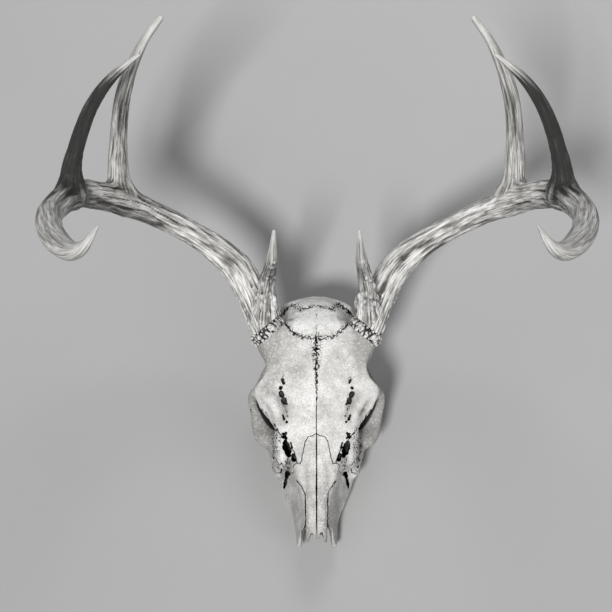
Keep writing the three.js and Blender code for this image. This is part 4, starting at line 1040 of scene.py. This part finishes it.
# ---------------------------------------------------------------- materials
class Nodes:
    """A short hand for wiring shader nodes."""

    def __init__(self, name):
        self.material = bpy.data.materials.new(name)
        self.material.use_nodes = True
        self.tree = self.material.node_tree
        self.shader = self.tree.nodes["Principled BSDF"]
        self.coords = self.tree.nodes.new("ShaderNodeTexCoord").outputs["Object"]

    def put(self, kind, inputs=(), **settings):
        node = self.tree.nodes.new(kind)
        for key, value in settings.items():
            setattr(node, key, value)
        for key, value in dict(inputs).items():
            if isinstance(value, bpy.types.NodeSocket):
                self.tree.links.new(value, node.inputs[key])
            else:
                node.inputs[key].default_value = value
        return node

    def attribute(self, name, vector=False):
        return self.put("ShaderNodeAttribute", attribute_name=name).outputs["Vector" if vector else "Fac"]

    def noise(self, scale, detail=3.0, rough=0.55, vector=None):
        inputs = {"Vector": vector or self.coords, "Scale": scale, "Detail": detail, "Roughness": rough}
        return self.put("ShaderNodeTexNoise", inputs).outputs["Fac"]

    def cells(self, scale, vector=None):
        inputs = {"Vector": vector or self.coords, "Scale": scale}
        return self.put("ShaderNodeTexVoronoi", inputs).outputs["Distance"]

    def stretched(self, vector, scale):
        return self.put("ShaderNodeMapping", {"Vector": vector, "Scale": scale}).outputs["Vector"]

    def warped(self, scale, reach):
        """The coordinates, moved about by noise of a given scale and reach in metres."""
        sway = self.put("ShaderNodeTexNoise", {"Vector": self.coords, "Scale": scale}).outputs["Color"]
        sway = self.put("ShaderNodeVectorMath", {0: sway, 1: (reach, reach, reach)}, operation="MULTIPLY")
        moved = {0: self.coords, 1: sway.outputs[0]}
        return self.put("ShaderNodeVectorMath", moved, operation="ADD").outputs[0]

    def span(self, value, low, high, to_low=0.0, to_high=1.0):
        inputs = {"Value": value, "From Min": low, "From Max": high, "To Min": to_low, "To Max": to_high}
        return self.put("ShaderNodeMapRange", inputs, interpolation_type="SMOOTHSTEP").outputs["Result"]

    def math(self, operation, a, b):
        return self.put("ShaderNodeMath", {0: a, 1: b}, operation=operation).outputs["Value"]

    def ramp(self, value, stops):
        node = self.put("ShaderNodeValToRGB", {"Fac": value})
        while len(node.color_ramp.elements) < len(stops):
            node.color_ramp.elements.new(0.5)
        for element, (position, colour) in zip(node.color_ramp.elements, stops):
            element.position = position
            element.color = (*colour, 1)
        return node.outputs["Color"]

    def blend(self, share, a, b, mode="MIX"):
        node = self.put("ShaderNodeMix", data_type="RGBA", blend_type=mode)
        for key, value in ((0, share), (6, a), (7, b)):
            if isinstance(value, bpy.types.NodeSocket):
                self.tree.links.new(value, node.inputs[key])
            else:
                node.inputs[key].default_value = value if key == 0 else (*value, 1)
        return node.outputs[2]

    def finish(self, colour, roughness, layers):
        """Wires colour, roughness and a stack of bumps, each a height with its depth in metres."""
        self.tree.links.new(colour, self.shader.inputs["Base Color"])
        self.tree.links.new(roughness, self.shader.inputs["Roughness"])
        normal = None
        for height, strength, distance in layers:
            inputs = {"Height": height, "Strength": strength, "Distance": distance}
            if normal is not None:
                inputs["Normal"] = normal
            normal = self.put("ShaderNodeBump", inputs).outputs["Normal"]
        self.tree.links.new(normal, self.shader.inputs["Normal"])
        return self.material


def bone_material():
    n = Nodes("dry_bone")
    n.shader.inputs["Specular IOR Level"].default_value = 0.35
    patches = n.noise(48, 5, 0.6)
    colour = n.ramp(patches, [
        (0.34, (0.43, 0.423, 0.405)), (0.5, (0.60, 0.592, 0.57)), (0.64, (0.74, 0.732, 0.712)),
    ])
    # shade_and_tone: painted shade and light from the vertices, with random tone added; low values paint the
    # bone lighter, high values darker
    shade_and_tone = n.math("ADD", n.attribute("shade_and_tone"), n.span(n.noise(130, 4, 0.6), 0.3, 0.7, -0.25, 0.25))
    colour = n.blend(n.span(shade_and_tone, -0.6, 0.0, 0.75, 0.0), colour, (0.93, 0.925, 0.905))
    colour = n.blend(n.span(shade_and_tone, -0.1, 1.4, 0, 0.85), colour, (0.25, 0.243, 0.23))
    speck = n.noise(900, 5, 0.7)
    colour = n.blend(n.span(speck, 0.36, 0.54, 0.55, 0.0), colour, (0.25, 0.243, 0.23))
    colour = n.blend(n.span(n.noise(520, 4, 0.65), 0.52, 0.68, 0.0, 0.6), colour, (0.84, 0.835, 0.815))
    # painted shade in the pits: dark specks of noise where the specks value is high
    grit = n.span(n.noise(780, 1, 0.4), 0.40, 0.46, 1, 0)
    pit_shade = n.math("MULTIPLY", grit, n.span(n.attribute("specks"), 0.1, 0.6, 0, 0.92))
    colour = n.blend(pit_shade, colour, (0.05, 0.048, 0.044))
    # pores, in patches, painted dark with the shade inside them
    pores = n.cells(620)
    where = n.noise(85, 3, 0.5)
    dots = n.math("MULTIPLY", n.span(pores, 0.16, 0.3, 1, 0), n.span(where, 0.5, 0.68, 0, 0.8))
    colour = n.blend(dots, colour, (0.12, 0.115, 0.105))
    long_cells = {"Vector": n.stretched(n.warped(130, 0.004), (1, 0.16, 1)), "Scale": 105.0}
    cracks = n.put("ShaderNodeTexVoronoi", long_cells, feature="DISTANCE_TO_EDGE").outputs["Distance"]
    cracked = n.span(n.noise(60, 3, 0.5), 0.5, 0.62, 0, 0.5)
    line = n.math("MULTIPLY", n.span(cracks, 0.006, 0.03, 1, 0), cracked)
    colour = n.blend(line, colour, (0.20, 0.19, 0.175))
    # painted shade: near black where the cavity value is high, in hollows, pits, sutures and openings
    cavity_shade = n.math("MULTIPLY", n.attribute("cavity"), n.span(n.noise(240, 3, 0.6), 0.25, 0.75, 0.8, 1.2))
    colour = n.blend(n.span(cavity_shade, 0.2, 0.9, 0, 0.98), colour, (0.007, 0.0065, 0.006))
    # painted shade: near black in deep recesses and in the orbits' sockets
    colour = n.blend(n.span(n.attribute("recess"), 0.45, 1.2, 0, 0.97), colour, (0.012, 0.0115, 0.0105))
    streak = n.noise(70, 4, 0.6, n.stretched(n.coords, (1, 1, 0.22)))
    enamel = n.ramp(streak, [(0.35, (0.50, 0.46, 0.38)), (0.62, (0.80, 0.78, 0.70))])
    colour = n.blend(n.attribute("enamel"), colour, enamel)
    rough = n.span(n.noise(300, 4, 0.6), 0.3, 0.7, 0.48, 0.72)
    rough = n.math("SUBTRACT", rough, n.span(n.attribute("enamel"), 0, 1, 0, 0.2))
    grain = n.noise(700, 6, 0.65, n.stretched(n.coords, (1, 0.45, 1)))
    pitted = n.span(n.math("ADD", dots, pit_shade), 0, 1, 1, 0)
    layers = [(n.noise(260, 4, 0.6), 0.5, 0.0006), (grain, 0.5, 0.00035), (pitted, 0.6, 0.0004)]
    return n.finish(colour, rough, layers)


def antler_material():
    n = Nodes("weathered_antler")
    n.shader.inputs["Specular IOR Level"].default_value = 0.4
    grain = n.attribute("grain", True)
    broad = n.noise(260, 5, 0.62, n.stretched(grain, (1, 1, 0.09)))
    fine = n.noise(900, 5, 0.65, n.stretched(grain, (1, 1, 0.07)))
    # painted shade in the furrows: the colour darkens with depth below the plain limb and lightens on the
    # ridges
    height = n.math("ADD", n.attribute("height"), n.span(broad, 0.3, 0.7, -0.22, 0.22))
    colour = n.ramp(height, [
        (0.08, (0.05, 0.048, 0.044)), (0.28, (0.24, 0.233, 0.218)), (0.44, (0.47, 0.458, 0.435)),
        (0.62, (0.66, 0.65, 0.625)), (0.88, (0.80, 0.79, 0.77)),
    ])
    colour = n.blend(n.span(n.attribute("tip"), 0.2, 1.0, 0.0, 0.75), colour, (0.78, 0.77, 0.745))
    colour = n.blend(n.span(fine, 0.34, 0.56, 0.6, 0.0), colour, (0.10, 0.097, 0.09))
    lines = n.noise(1300, 4, 0.6, n.stretched(grain, (1, 1, 0.03)))
    worn = n.span(n.attribute("tip"), 0.1, 0.8, 1.0, 0.3)
    lines = n.math("MULTIPLY", n.span(lines, 0.36, 0.47, 0.85, 0.0), worn)
    colour = n.blend(lines, colour, (0.06, 0.058, 0.053))
    # dark: painted shade from the vertices, with random stains and the broad grain added; the higher it is,
    # the nearer black the colour
    stain = n.noise(38, 4, 0.6)
    dark = n.math("ADD", n.attribute("dark"), n.span(stain, 0.45, 0.7, -0.1, 0.2))
    dark = n.math("ADD", dark, n.span(broad, 0.38, 0.62, 0.15, -0.25))
    colour = n.blend(n.span(dark, 0.05, 1.2, 0.0, 0.97), colour, (0.014, 0.0135, 0.0125))
    # painted shade: near black where the cavity value is high, in crevices and forks
    cavity_shade = n.math("MULTIPLY", n.attribute("cavity"), n.span(n.noise(300, 3, 0.6), 0.25, 0.75, 0.8, 1.2))
    colour = n.blend(n.span(cavity_shade, 0.12, 0.8, 0, 0.95), colour, (0.016, 0.015, 0.013))
    rough = n.math("SUBTRACT", n.span(n.noise(420, 4, 0.6), 0.3, 0.7, 0.46, 0.68),
                   n.span(n.attribute("tip"), 0, 1, 0, 0.12))
    cut = n.span(lines, 0, 1, 1, 0)
    layers = [(fine, 0.45, 0.0006), (cut, 0.5, 0.0004), (broad, 0.45, 0.0009)]
    layers.append((n.noise(1500, 4, 0.6), 0.3, 0.0003))
    return n.finish(colour, rough, layers)


def floor_material():
    n = Nodes("pale_floor")
    shade = n.ramp(n.noise(3, 3, 0.5), [(0.3, (0.385, 0.385, 0.382)), (0.7, (0.405, 0.405, 0.402))])
    rough = n.span(n.noise(60, 3, 0.5), 0.3, 0.7, 0.7, 0.8)
    return n.finish(shade, rough, [(n.noise(500, 3, 0.6), 0.1, 0.0002)])


# ---------------------------------------------------------------- build
ANTLER_NODES = ("beam_lower", "beam_middle", "beam_tip", "tine_brow", "tine_second", "tine_third")


def dress(name, mesh, material, replaced):
    piece = make_object(name, mesh, material)
    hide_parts(*replaced)
    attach(piece, "root")


def near_skull(x, y, z, span):
    return half_skull(np.abs(x), y, z).min() < 0.45 * span + 2


def on_side(box, side):
    """A box of the left side, or the same box on the right."""
    (x0, y0, z0), (x1, y1, z1) = box
    x0, x1 = sorted([side * x0, side * x1])
    return (x0, y0, z0), (x1, y1, z1)


bone = bone_material()
antler = antler_material()

meshes = nets_of(bone_fields, paint_bone, *SKULL_BOX, SKULL_STEP, near_skull)
for name, mesh in meshes.items():
    dress(name + "_bone", mesh, bone, [name])

for label, side, seed in (("left", 1, 3), ("right", -1, 7)):
    limbs = make_antler(10 * seed)

    def near_antler(x, y, z, span):
        centre = np.array([side * x.mean(), y.mean(), z.mean()])
        reach = span * CORNER_REACH + 6
        return any((np.linalg.norm(part.p - centre, axis=1) < reach + part.r).any() for part in limbs)

    mesh = nets_of(*antler_maker(limbs, side), *on_side(ANTLER_BOX, side), ANTLER_STEP, near_antler)["antler"]
    dress("antler_" + label + "_form", mesh, antler, [node + "_" + label for node in ANTLER_NODES])

    mesh = nets_of(*burr_maker(seed, side, limbs), *on_side(BURR_BOX, side), BURR_STEP, near_burr)["burr"]
    dress("burr_" + label + "_beads", mesh, antler, ["burr_" + label])


# ---------------------------------------------------------------- floor and light
FLOOR_HALF = 30.0
KEY_DIRECTION, KEY_ENERGY, KEY_ANGLE = (-0.3, -1.0, 1.25), 3.1, math.radians(10)
AREA_LIGHTS = (("fill", (1.1, -1.3, 1.1), 5, 1.2), ("back", (0.2, 1.2, 1.5), 8, 0.8))  # place, watts, size


def make_floor():
    data = bpy.data.meshes.new("floor")
    corners = [(i * FLOOR_HALF, j * FLOOR_HALF, 0) for i, j in ((-1, -1), (1, -1), (1, 1), (-1, 1))]
    data.from_pydata(corners, [], [(0, 1, 2, 3)])
    data.materials.append(floor_material())
    floor = bpy.data.objects.new("floor", data)
    bpy.context.scene.collection.objects.link(floor)


def make_light(name, place, energy, size):
    data = bpy.data.lights.new(name, "AREA")
    data.shape = "DISK"
    data.size = size
    data.energy = energy
    light = bpy.data.objects.new(name, data)
    light.location = place
    light.rotation_euler = (Vector((0, 0, 0.12)) - Vector(place)).to_track_quat("-Z", "Y").to_euler()
    bpy.context.scene.collection.objects.link(light)


def make_sun():
    data = bpy.data.lights.new("key", "SUN")
    data.energy = KEY_ENERGY
    data.angle = KEY_ANGLE
    light = bpy.data.objects.new("key", data)
    light.rotation_euler = Vector(KEY_DIRECTION).to_track_quat("Z", "Y").to_euler()
    bpy.context.scene.collection.objects.link(light)


def make_world():
    world = bpy.data.worlds.new("studio")
    world.use_nodes = True
    world.node_tree.nodes["Background"].inputs["Color"].default_value = (0.9, 0.92, 0.95, 1)
    world.node_tree.nodes["Background"].inputs["Strength"].default_value = 0.17
    bpy.context.scene.world = world
    bpy.context.scene.view_settings.view_transform = "Standard"


make_floor()
make_world()
make_sun()
for light in AREA_LIGHTS:
    make_light(*light)

bpy.context.view_layer.update()
